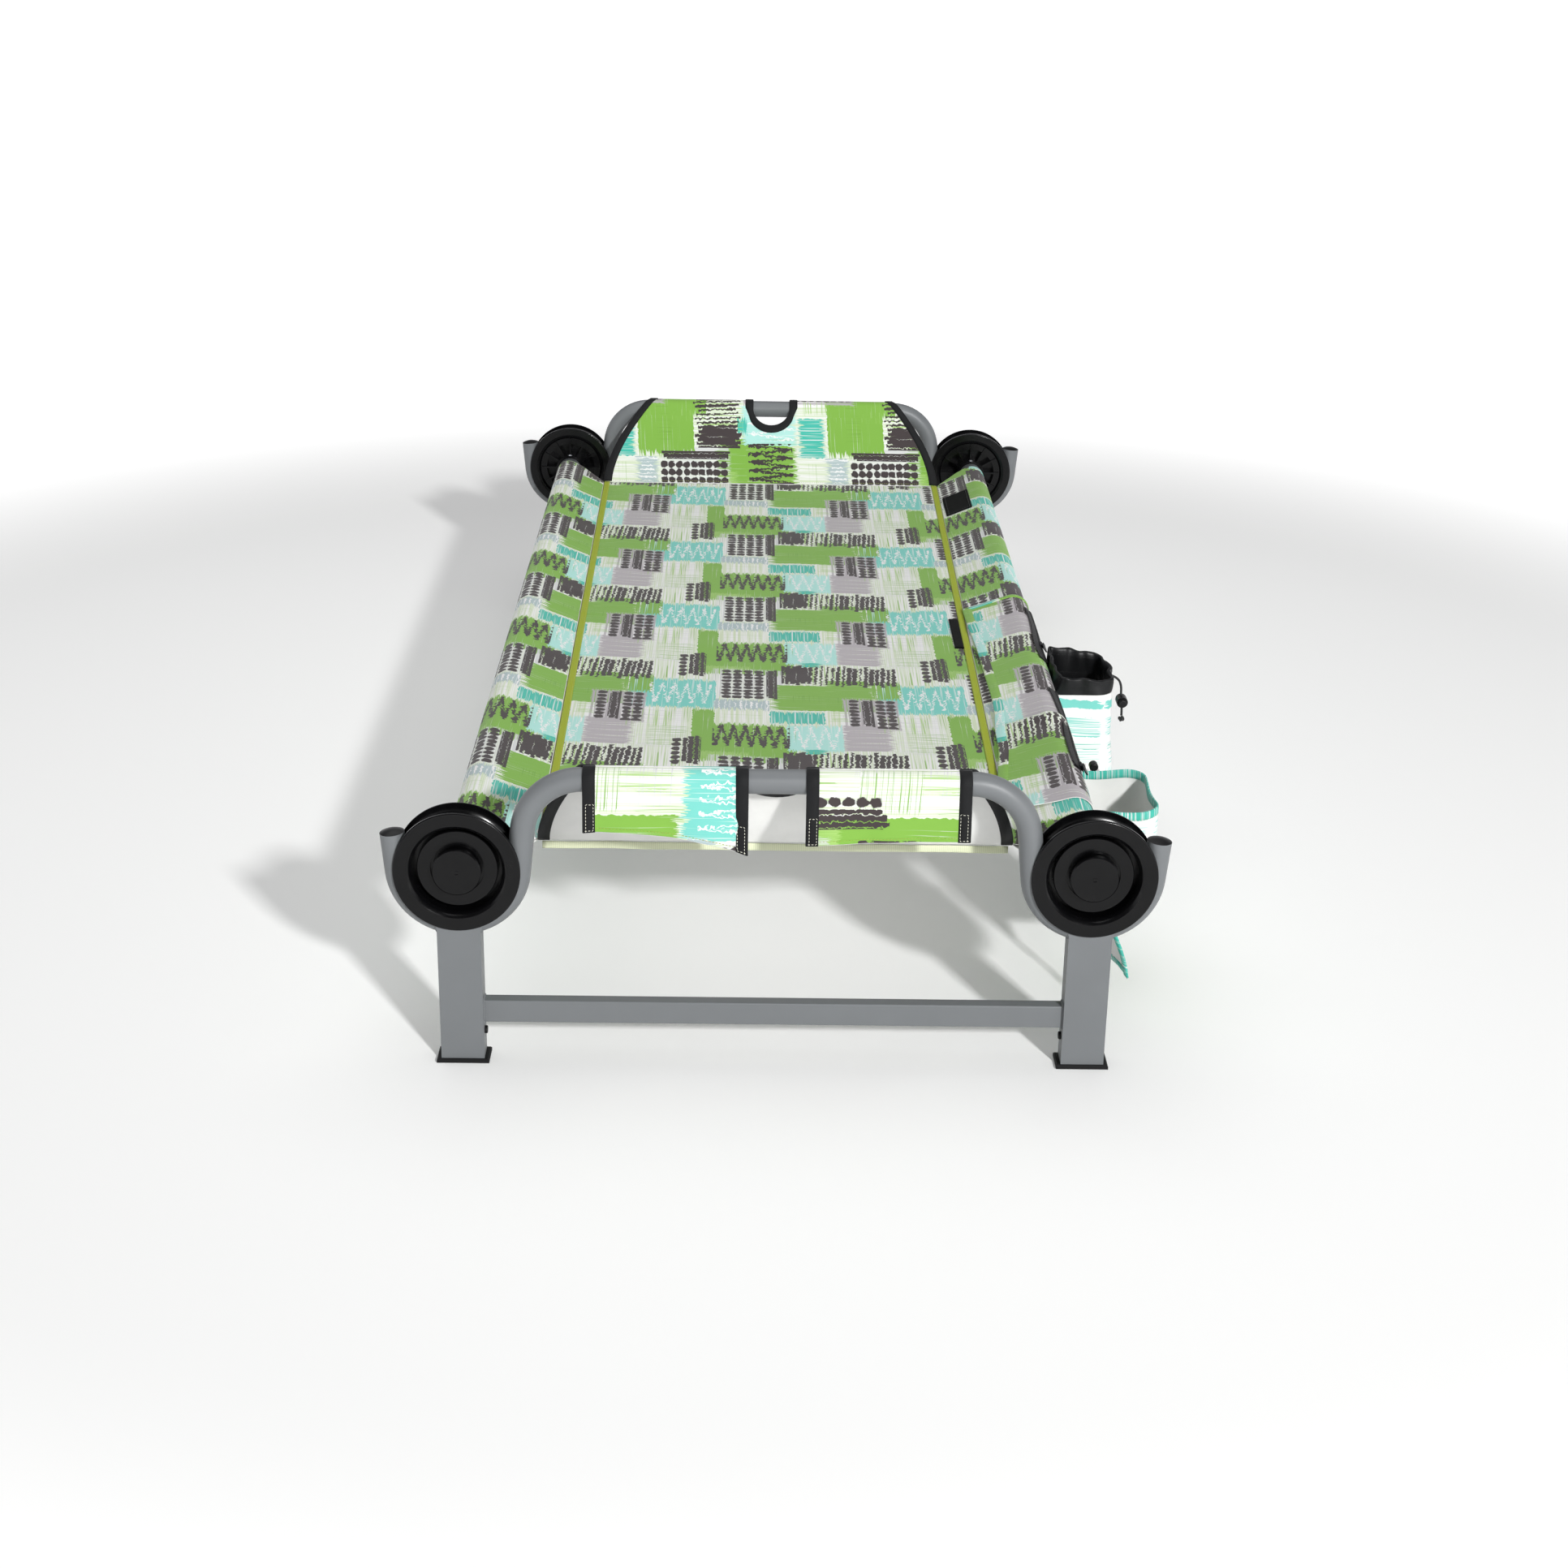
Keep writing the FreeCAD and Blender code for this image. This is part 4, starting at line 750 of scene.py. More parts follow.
def round_rail(y, radius, lift=0.0):
    """Section round the right rail: list of (x, z, distance along the cloth, outward normal)."""
    px, pz = deck_half(y), DECK_Z + lift
    up, run = tangent(px, pz, RAIL_X, RAIL_Z, radius, 1)
    down, back = tangent(px, pz - 2 * lift, RAIL_X, RAIL_Z, radius, -1)
    section = []
    for t in steps(0, 1, 7)[:-1]:
        section.append((px + math.cos(up) * run * t, pz + math.sin(up) * run * t, run * t,
                        up + math.pi / 2))
    turn = (up + math.pi / 2) - (down - math.pi / 2)
    for t in steps(0, 1, 26):
        angle = up + math.pi / 2 - turn * t
        section.append((RAIL_X + radius * math.cos(angle), RAIL_Z + radius * math.sin(angle),
                        run + radius * turn * t, angle))
    for t in steps(1, 0, 7)[1:]:
        section.append((px + math.cos(down) * back * t, pz - 2 * lift + math.sin(down) * back * t,
                        run + radius * turn + back * (1 - t), down - math.pi / 2))
    return section


def sleeve_rows(side):
    """Rows of the sleeve on one side, with its ends cut on the skew."""
    count = len(round_rail(0.0, SLEEVE_R))
    near_x, far_x = deck_half(0.0), RAIL_X - SLEEVE_R
    columns = []
    for k in range(count):
        x = round_rail(0.0, SLEEVE_R)[k][0]
        out = min(1.0, max(0.0, (x - near_x) / (far_x - near_x)))
        columns.append((-SEAM_Y + out * (SLEEVE_FOOT + SEAM_Y), SEAM_Y + out * (SLEEVE_HEAD - SEAM_Y)))
    rows = []
    for t in steps(0, 1, 150):
        row = []
        for k, (foot, head) in enumerate(columns):
            y = foot + (head - foot) * t
            x, z, run, angle = round_rail(min(SEAM_Y, max(-SEAM_Y, y)), SLEEVE_R, 0.5 * MM)[k]
            free = blend_in(math.sin(angle), 0.1, 0.9) if k < count / 2 else 0.6
            puff = 0.9 * MM * ripple(run * 0.7, y, 0.06, side) * free
            seam = math.exp(-run / 0.02) * pucker(deck_half(y), y)
            lift = abs(puff) + seam if k else 0.0
            row.append((at(side * (x + math.cos(angle) * lift), y, z + math.sin(angle) * lift),
                        (side * (deck_half(y) + run), y)))
        rows.append(row)
    return rows


def panel_place(run, end):
    """Middle of an end panel's cloth at a distance up from its seam: (y, z, normal)."""
    if run <= SLOPE:
        y, z, facing = run * math.cos(RISE), DECK_Z + run * math.sin(RISE), RISE + math.pi / 2
    else:
        facing = RISE + math.pi / 2 - (run - SLOPE) / WRAP_R
        y = END_PLANE - SEAM_Y + WRAP_R * math.cos(facing)
        z = ARCH_Z + WRAP_R * math.sin(facing)
    return ENDS[end] * (SEAM_Y + y), z, Vector((0, ENDS[end] * math.cos(facing), math.sin(facing)))


RISE, SLOPE = tangent(0, DECK_Z, END_PLANE - SEAM_Y, ARCH_Z, WRAP_R, 1)
PANEL_RUN = SLOPE + WRAP_R * RISE
NOTCH_RUN = (ARCH_Z - NOTCH_DROP - DECK_Z) / math.sin(RISE)
PANEL_LOWER, PANEL_SIDE = 16, 18     # grid of a panel: rows below the notch, columns each side
DECK_LONG, DECK_WIDE = 168, 68       # grid of the deck


def panel_half(run, end):
    """Half width of an end panel: it leaves the seam steeply and curves in to the arch."""
    start = HALF_FOOT if end == "foot" else HALF_HEAD
    return start - (start - PANEL_TOP) * (run / PANEL_RUN) ** 1.7


def panel_runs():
    """Distances up the panel, close together round the bottom of its notch."""
    plain = [(run, 0.0) for run in steps(0, NOTCH_RUN, PANEL_LOWER)[:-1]]
    bowl = [(NOTCH_RUN + NOTCH * (1 - math.cos(a)), NOTCH * math.sin(a))
            for a in steps(0, math.pi / 2, 10)]
    return plain + bowl + [(run, NOTCH) for run in steps(bowl[-1][0], PANEL_RUN, 6)[1:]]


def panel_point(x, run, end):
    y, z, normal = panel_place(run, end)
    free = blend_in(run, 0, 0.03) * (1 - blend_in(run, SLOPE - 0.03, SLOPE))
    puff = free * (1.6 * MM * ripple(x, run, 0.07, 3.0 * ENDS[end]) - 1.5 * MM)
    return at(x, y, z) + normal * puff


def print_turned(x, run, end):
    """The end panels are cut with the print turned a quarter."""
    start = {"foot": (10 * MM, 70 * MM), "head": (-50 * MM, 203 * MM)}[end]
    return (run + start[0], x + start[1])


def panel_rows(end):
    rows = []
    for run, inner in panel_runs():
        half = panel_half(run, end)
        xs = [-half + (half - inner) * t for t in steps(0, 1, PANEL_SIDE)]
        xs += [inner + (half - inner) * t for t in steps(0, 1, PANEL_SIDE)]
        rows.append([(panel_point(x, run, end), print_turned(x, run, end)) for x in xs])
    return rows


def flap_place(run, end):
    """Middle of a flap's cloth at a distance down from the crown: (y, z, normal)."""
    quarter = WRAP_R * math.pi / 2
    angle = math.pi / 2 - min(run, quarter) / WRAP_R
    y = END_PLANE + WRAP_R * math.cos(angle)
    z = ARCH_Z + WRAP_R * math.sin(angle) - max(0.0, run - quarter)
    return ENDS[end] * y, z, Vector((0, ENDS[end] * math.cos(angle), math.sin(angle)))


def flap_run(x, end, side):
    """Length of a flap below the crown at a distance from the middle."""
    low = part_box("%s_%s_flap" % (end, side))[0].z
    inner, outer = ARCH_Z - low, OUTER_DROP[side]
    t = (abs(x) - NOTCH) / (PANEL_TOP - NOTCH)
    sweep_in = (1 - t) ** 2.2 if side == "left" else 1 - t
    return WRAP_R * math.pi / 2 + outer + (inner - outer) * sweep_in


def flap_point(x, t, end, side):
    run = flap_run(x, end, side) * t
    y, z, normal = flap_place(run, end)
    hang = blend_in(run, 0.02, 0.07)
    wave = 2.2 * MM * math.sin(abs(x) / 0.021 + 2 * SIDES[side]) + 2.4 * MM * ripple(x, run, 0.05, 9)
    curl = 3.0 * MM * hang * abs(2 * (abs(x) - NOTCH) / (PANEL_TOP - NOTCH) - 1) ** 3
    return at(x, y, z) + normal * (hang * abs(wave) + curl)


def flap_rows(end, side):
    rows = []
    for t in steps(0, 1, 16):
        row = []
        for x in steps(NOTCH, PANEL_TOP, 24):
            x *= SIDES[side]
            row.append((flap_point(x, t, end, side),
                        print_turned(x, PANEL_RUN + flap_run(x, end, side) * t, end)))
        rows.append(row)
    return rows


def bind(name, path, into, normals):
    """Edge binding folded over a cut edge."""
    width = bpy.context.scene.cot_cloth.binding_width
    return sweep(name, path, into, normals, fold_section(width, CLOTH), "binding")


def edge_frames(place, ts, inward):
    """Path, inward side and normal of an edge, from a surface point function of (edge, in)."""
    path, into, normals = [], [], []
    for t in ts:
        here, inner, ahead = place(t, 0.0), place(t, inward), place(t + 1e-4, 0.0)
        side = (inner - here).normalized()
        path.append(here)
        into.append(side)
        normals.append(side.cross(ahead - here).normalized())
    return path, into, normals


# ---- organiser shapes --------------------------------------------------------------------------
ZIP_ANGLE, ZIP_WIDTH = math.radians(46), 15 * MM     # middle of the tape, up from level
TEETH_ANGLE = math.radians(38)                       # where the sliders run
FOOT_ZIP_END, HEAD_ZIP_START = -300 * MM, -185 * MM  # the sliders park inside these
BAG_WALL = 1.2 * MM
ORG_FOOT = POCKET_LOW.y - 12 * MM
ORG_HEM = RAIL_Z - 130 * MM
# The organiser's inner edge wanders: (place along the cot, distance from the centre line), mm.
INNER_EDGE = ((-653, 258), (-574, 251), (-442, 261), (-303, 267), (-150, 265), (70, 259))


def inner_edge(y):
    for (y0, x0), (y1, x1) in zip(INNER_EDGE, INNER_EDGE[1:]):
        if y * 1000 <= y1:
            break
    t = (y * 1000 - y0) / (y1 - y0)
    return (x0 + (x1 - x0) * (t * t * (3 - 2 * t))) * MM


def organizer_rows():
    """Top sheet over the rail, then down outside it to the hem and its drooping corner."""
    rows = []
    for y in steps(ORG_FOOT, ORG_HEAD, 96):
        row = []
        px, pz = deck_half(y), DECK_TOP + 1.9 * MM
        up, run = tangent(px, pz, RAIL_X, RAIL_Z, ORG_R, 1)
        top = up + math.pi / 2
        start = inner_edge(y)
        fold = math.exp(-((y + 0.402) / 0.016) ** 2) - 0.5 * math.exp(-((y + 0.37) / 0.02) ** 2)
        curl = blend_in(-y, 0.618, 0.653)
        for t in steps(0, 1, 12)[:-1]:
            along = (start - px) / math.cos(up) * (1 - t) + run * t
            x, z = px + along * math.cos(up), pz + along * math.sin(up)
            z = max(z, DECK_TOP + 1.9 * MM)
            lift = (1.2 * MM * abs(ripple(x, y, 0.04, 4.0)) + 5 * MM * max(0.0, fold) * (0.3 + 0.7 * t)
                    + 7 * MM * curl * (1 - t) ** 2 + 1.4 * MM * (1 - t) ** 4)
            row.append((at(x - math.sin(up) * lift, y, z + math.cos(up) * lift), (along, y)))
        for t in steps(0, 1, 12)[:-1]:
            angle = top * (1 - t)
            lift = (0.8 * MM * abs(ripple(angle * 0.02, y, 0.05, 6.0))
                    + 6 * MM * max(0.0, fold) * math.sin(math.pi * (0.5 + t / 2)))
            x = RAIL_X + (ORG_R + lift) * math.cos(angle)
            z = RAIL_Z + (ORG_R + lift) * math.sin(angle)
            row.append((at(x, y, z), (run + ORG_R * (top - angle), y)))
        for t in steps(0, 1, 22):
            down = t * (RAIL_Z - ORG_HEM)
            hang = blend_in(-y, 0.585, -ORG_FOOT)
            droop = hang * max(0.0, (t - 0.36) / 0.64) ** 1.3
            foot = y + droop * (ORG_CORNER - ORG_FOOT)
            out = 34 * MM * blend_in(-foot, 0.648, 0.745)
            sway = 1.2 * MM * ripple(y, down, 0.06, 8.0) * t
            low = 20 * MM * droop
            row.append((at(RAIL_X + ORG_R + out + min(0.0, sway), foot, RAIL_Z - down - low),
                        (run + ORG_R * top + down, y)))
        rows.append(row)
    return rows


def bag_ring(x0, x1, y0, y1, z, radius, bulge=0.0, count=10):
    """Ring of points round a bag: flat against the organiser, rounded outside, sides bulging."""
    ring = []

    def run(a, b, share, out):
        for t in steps(0, 1, share)[:-1]:
            swell = bulge * math.sin(math.pi * t)
            ring.append(Vector((a[0] + (b[0] - a[0]) * t + out[0] * swell,
                                a[1] + (b[1] - a[1]) * t + out[1] * swell, z)))

    def corner(cx, cy, start):
        for t in steps(0, 1, 6)[:-1]:
            angle = start + math.pi / 2 * t
            ring.append(Vector((cx + radius * math.cos(angle), cy + radius * math.sin(angle), z)))

    run((x0, y0), (x1 - radius, y0), count, (0, -1))
    corner(x1 - radius, y0 + radius, -math.pi / 2)
    run((x1, y0 + radius), (x1, y1 - radius), count, (1, 0))
    corner(x1 - radius, y1 - radius, 0.0)
    run((x1 - radius, y1), (x0, y1), count, (0, 1))
    run((x0, y1), (x0, y0), count, (0, 0))
    return ring


def bag_rows(rings):
    """Rows of (point, uv) from rings, closed underneath by rings that shrink to a point."""
    rows, down = [], 0.0
    last = rings[-1]
    centre = sum(last, Vector()) / len(last)
    low = centre + Vector((0, 0, -3 * MM))
    for share in (0.93, 0.7, 0.4, 0.0):
        rings = rings + [[low + (p - centre) * share for p in last]]
    for i, ring in enumerate(rings):
        down += (ring[0] - rings[i - 1][0]).length if i else 0.0
        around, row = 0.0, []
        for k, p in enumerate(ring):
            around += (p - ring[k - 1]).length if k else 0.0
            row.append((at(p.x - CENTRE_X, p.y, p.z), (around, -down)))
        rows.append(row)
    return rows


# ---- settings ----------------------------------------------------------------------------------
class CotCloth(bpy.types.PropertyGroup):
    """Sizes of the sewn trim."""

    pucker: FloatProperty(name="Pucker", description="Height of the seam gathers", default=0.7 * MM,
                          min=0, max=3 * MM, unit="LENGTH")
    binding_width: FloatProperty(name="Binding width",
                                 description="Width of the edge binding on each face",
                                 default=BINDING_WIDTH, unit="LENGTH")
    stitch_pitch: FloatProperty(name="Stitch pitch", description="Distance from stitch to stitch",
                                default=3.4 * MM, unit="LENGTH")
    stitch_width: FloatProperty(name="Thread width", description="Width of a stitch", default=0.8 * MM,
                                unit="LENGTH")


class CotColours(bpy.types.PropertyGroup):
    """Colours of the floor and of the world."""

    floor: FloatVectorProperty(name="Floor", description="Colour of the studio floor", subtype="COLOR",
                               default=linear("#f2f2f1")[:3], min=0, max=1)
    sky: FloatVectorProperty(name="Fill", description="Colour of the even fill light", subtype="COLOR",
                             default=linear("#fbfcff")[:3], min=0, max=1)


class CotStudio(bpy.types.PropertyGroup):
    """Camera and lights."""

    lens: FloatProperty(name="Lens", description="Focal length in millimetres", default=56.53)
    pitch: FloatProperty(name="Pitch", description="Camera's tilt below level", subtype="ANGLE",
                         default=0.382208)
    yaw: FloatProperty(name="Yaw", description="Camera's turn to the right", subtype="ANGLE",
                       default=0.0152227)
    roll: FloatProperty(name="Roll", description="Camera's roll", subtype="ANGLE", default=0.0176535)
    stand: FloatVectorProperty(name="Camera place", description="Where the camera is",
                               subtype="TRANSLATION", default=(-0.03892, -3.11304, 1.23934))
    key_power: FloatProperty(name="Key power", description="Key light in watts", default=720.0)
    top_power: FloatProperty(name="Overhead power", description="Large overhead light in watts",
                             default=42.0)
    fill: FloatProperty(name="Fill strength", description="Even light from the room", default=0.1)
    glow: FloatProperty(name="Floor glow", description="Light of the floor itself", default=0.08)


KEY_PLACE, KEY_SIZE = Vector((3.3, -7.6, 4.0)), 0.5
TOP_PLACE, TOP_SIZE = Vector((-0.3, 0.2, 2.7)), 3.2
AIM = Vector((0, 0, 0.2))           # both lights point at the middle of the cot
GLOW_START, GLOW_END = 1.4, 2.9     # metres out, where the floor turns to pure white


# ---- operators ---------------------------------------------------------------------------------
NODE_FINISHES = {"coat": ("{end}_frame_tube", "{end}_crossbar", "{end}_{side}_leg"),
                 "rail": ("{side}_rail_{end}_half", "{side}_rail_coupler"),
                 "disc": ("{side}_{end}_disc",), "cap": ("{end}_{side}_foot_cap",),
                 "small": ("{end}_tube_plugs", "{end}_{side}_leg_button", "cord_lock",
                           "cord_lock_plunger", "pocket_toggle"), "slider": ("{end}_zipper_slider",),
                 "zinc": ("{end}_{side}_button_spring", "{side}_disc_rivets", "cord_lock_spring"),}


def finish_node(name, key):
    """Give a CAD node its finish."""
    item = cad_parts[name]
    if not item.material_slots:
        raise RuntimeError(name + " has no material slot")
    for part in item.material_slots:
        part.link = "OBJECT"
        part.material = FINISHES[key]


def place_piece(item, replaces=(), body="deck_sheet"):
    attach(item, body)
    if replaces:
        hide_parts(*replaces)
    return item


class MakeFinishes(bpy.types.Operator):
    """Make every material"""

    bl_idname = "cot.finishes"
    bl_label = "Materials"

    def execute(self, context):
        make_finishes()
        return {"FINISHED"}


class FinishFrame(bpy.types.Operator):
    """Finish the frames, rails, discs and fittings"""

    bl_idname = "cot.frame"
    bl_label = "Frame finishes"

    def execute(self, context):
        for key, names in NODE_FINISHES.items():
            for name in names:
                for end in ENDS:
                    for side in SIDES:
                        finish_node(name.format(end=end, side=side), key)
        return {"FINISHED"}


class MakeWelds(bpy.types.Operator):
    """Rippled weld beads where the legs meet the cradles and the crossbars"""

    bl_idname = "cot.welds"
    bl_label = "Weld beads"

    def execute(self, context):
        half_w, half_d = (LEG_HIGH.x - LEG_LOW.x) / 2, (LEG_HIGH.y - LEG_LOW.y) / 2
        for end, way in ENDS.items():
            lines = []
            for side in SIDES.values():
                corners = [(half_w, -half_d), (half_w, half_d), (-half_w, half_d), (-half_w, -half_d),
                           (half_w, -half_d)]
                loop = []
                for (x0, y0), (x1, y1) in zip(corners, corners[1:]):
                    for t in steps(0, 1, 12)[:-1]:
                        x, y = x0 + (x1 - x0) * t, y0 + (y1 - y0) * t
                        under = CRADLE_R + math.sqrt(max(0.0, TUBE_R ** 2 - y ** 2))
                        loop.append(at(side * RAIL_X + x, way * END_PLANE + y,
                                       RAIL_Z - math.sqrt(under ** 2 - x ** 2)))
                lines.append(loop + [loop[0]])
                bar_d, bar_x = (BAR_HIGH.y - BAR_LOW.y) / 2, side * (RAIL_X - half_w)
                ring = [(-bar_d, BAR_LOW.z), (bar_d, BAR_LOW.z), (bar_d, BAR_HIGH.z),
                        (-bar_d, BAR_HIGH.z), (-bar_d, BAR_LOW.z)]
                lines.append([at(bar_x, way * END_PLANE + y, z) for y, z in ring])
            beads = grains(end + "_weld_beads", lines, 1.7 * MM, (2.6 * MM, 3.4 * MM, 3.4 * MM),
                           "coat", 2)
            place_piece(beads, body=end + "_frame")
        return {"FINISHED"}


class MakeDeck(bpy.types.Operator):
    """Printed deck, its sleeves round the rails and the green seam tapes"""

    bl_idname = "cot.deck"
    bl_label = "Deck and sleeves"

    def execute(self, context):
        rows = []
        for y in steps(-SEAM_Y, SEAM_Y, DECK_LONG):
            row = []
            for t in steps(-1, 1, DECK_WIDE):
                x = t * deck_half(y)
                row.append((at(x, y, DECK_Z + deck_rise(x, y)), (x, y)))
            rows.append(row)
        deck = cloth("deck_cloth", rows, "print")
        place_piece(deck, ["deck"])
        seams = []
        for side, way in SIDES.items():
            tube = cloth(side + "_sleeve_cloth", sleeve_rows(way), "print", SLEEVE_WALL,
                         faces_in=way < 0)
            place_piece(tube, [side + "_sleeve"])
            ys = steps(-SEAM_Y, SEAM_Y, 200)
            path = [at(way * (deck_half(y) - TAPE_WIDTH / 2), y,
                       DECK_TOP + max(0.0, deck_rise(deck_half(y) - TAPE_WIDTH / 2, y)) - 0.1 * MM)
                    for y in ys]
            up = [Vector((0, 0, 1))] * len(path)
            tape = sweep(side + "_seam_tape_strip", path, frames_along(path, up), up,
                         strip_section(TAPE_WIDTH, 1.1 * MM), "tape")
            place_piece(tape, [side + "_seam_tape"])
            for edge in (1.3 * MM, TAPE_WIDTH - 1.3 * MM):
                seams.append([p + Vector((way * (TAPE_WIDTH / 2 - edge), 0, 1.05 * MM)) for p in path])
        place_piece(stitches("tape_stitches", seams, "green_thread"))
        return {"FINISHED"}


class MakeEnds(bpy.types.Operator):
    """End panels, their flaps and black bindings"""

    bl_idname = "cot.ends"
    bl_label = "End panels and flaps"

    def execute(self, context):
        for end, way in ENDS.items():
            rows = panel_rows(end)
            gap = {r * (2 * PANEL_SIDE + 1) + PANEL_SIDE for r in range(PANEL_LOWER, len(rows) - 1)}
            panel = cloth(end + "_panel_cloth", rows, "print", faces_in=way < 0, cut=gap)
            place_piece(panel, [end + "_end_panel"])
            trims = []
            for side, turn in SIDES.items():
                def side_edge(run, inward):
                    return panel_point(turn * (panel_half(run, end) - inward), run, end)

                frames = edge_frames(side_edge, steps(2 * MM, PANEL_RUN, 34), 1 * MM)
                trims.append(bind("%s_%s_panel_binding" % (end, side), *frames))
            bowl = [(x, run) for run, x in panel_runs() if run >= NOTCH_RUN]
            outline = [(-x, run) for x, run in reversed(bowl)] + bowl[1:]
            path = [panel_point(x, run, end) for x, run in outline]
            heads = [panel_point(x * 1.02, run - 1 * MM, end) if abs(x) < NOTCH * 0.99
                     else panel_point(x + math.copysign(1 * MM, x), run, end) for x, run in outline]
            into = [(b - a).normalized() for a, b in zip(path, heads)]
            normals = [panel_place(run, end)[2] for x, run in outline]
            trims.append(bind(end + "_notch_binding", path, into, normals))
            for trim in trims:
                place_piece(trim)
            half = panel_half(0, end)
            seam = [panel_point(x, 3 * MM, end) + Vector((0, 0, CLOTH / 2 + 0.2 * MM))
                    for x in steps(8 * MM - half, half - 8 * MM, 60)]
            place_piece(stitches(end + "_seam_stitches", [seam], "green_thread"))
            self.seam_fin(end, way)
            for side, turn in SIDES.items():
                self.make_flap(end, side, turn)
        return {"FINISHED"}

    def seam_fin(self, end, way):
        """Raw seam allowance, bound in pale tape, that hangs under an end seam."""
        half = panel_half(0, end) - 4 * MM
        path = []
        for x in steps(-half, half, 90):
            wave = 0.8 * MM * ripple(x, 0, 0.05, 40.0)
            path.append(at(x, way * (SEAM_Y + 0.5 * MM), DECK_LOW.z - FIN_HEIGHT / 2 + wave))
        down = [Vector((0, 0.06 * math.sin(p.x / 0.02), -1)).normalized() for p in path]
        out = [Vector((0, way, 0))] * len(path)
        fin = sweep(end + "_seam_fin", path, down, out, strip_section(FIN_HEIGHT, 1.6 * MM), "fin")
        place_piece(fin)

    def make_flap(self, end, side, turn):
        """One flap with its two bindings and boxed corner stitches."""
        body = "%s_%s_flap" % (end, side)
        flap = cloth(body + "_cloth", flap_rows(end, side), "print", faces_in=turn * ENDS[end] < 0)
        trims = []
        for label, edge, inward in (("inner", NOTCH, 1), ("outer", PANEL_TOP, -1)):
            def side_edge(t, d):
                return flap_point(turn * (edge + inward * d), t, end, side)

            frames = edge_frames(side_edge, steps(0.0, 0.995, 26), 1 * MM)
            trims.append(bind("%s_%s_binding" % (body, label), *frames))
        boxes = []
        for edge, inward in ((NOTCH, 1), (PANEL_TOP, -1)):
            length = flap_run(turn * edge, end, side)
            corners = [(2.5, 2.5), (10, 2.5), (10, 30), (2.5, 30), (2.5, 2.5)]
            line = []
            for (a, b), (c, d) in zip(corners, corners[1:]):
                for t in steps(0, 1, 6)[:-1]:
                    x = turn * (edge + inward * (a + (c - a) * t) * MM)
                    share = 1 - (b + (d - b) * t) * MM / length
                    normal = flap_place(length * share, end)[2]
                    line.append(flap_point(x, share, end, side) + normal * (CLOTH / 2 + 1.0 * MM))
            boxes.append(line + [line[0]])
        sewn = stitches(body + "_box_stitches", boxes, "light_thread")
        lift = CLOTH / 2 + 0.2 * MM
        hem_line = [flap_point(turn * x, 1 - 5 * MM / flap_run(x, end, side), end, side)
                    + flap_place(flap_run(x, end, side), end)[2] * lift
                    for x in steps(NOTCH + 14 * MM, PANEL_TOP - 14 * MM, 40)]
        hem = stitches(body + "_hem_stitches", [hem_line], "green_thread")
        for item in [flap, *trims, sewn, hem]:
            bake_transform(item)
        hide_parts(body)


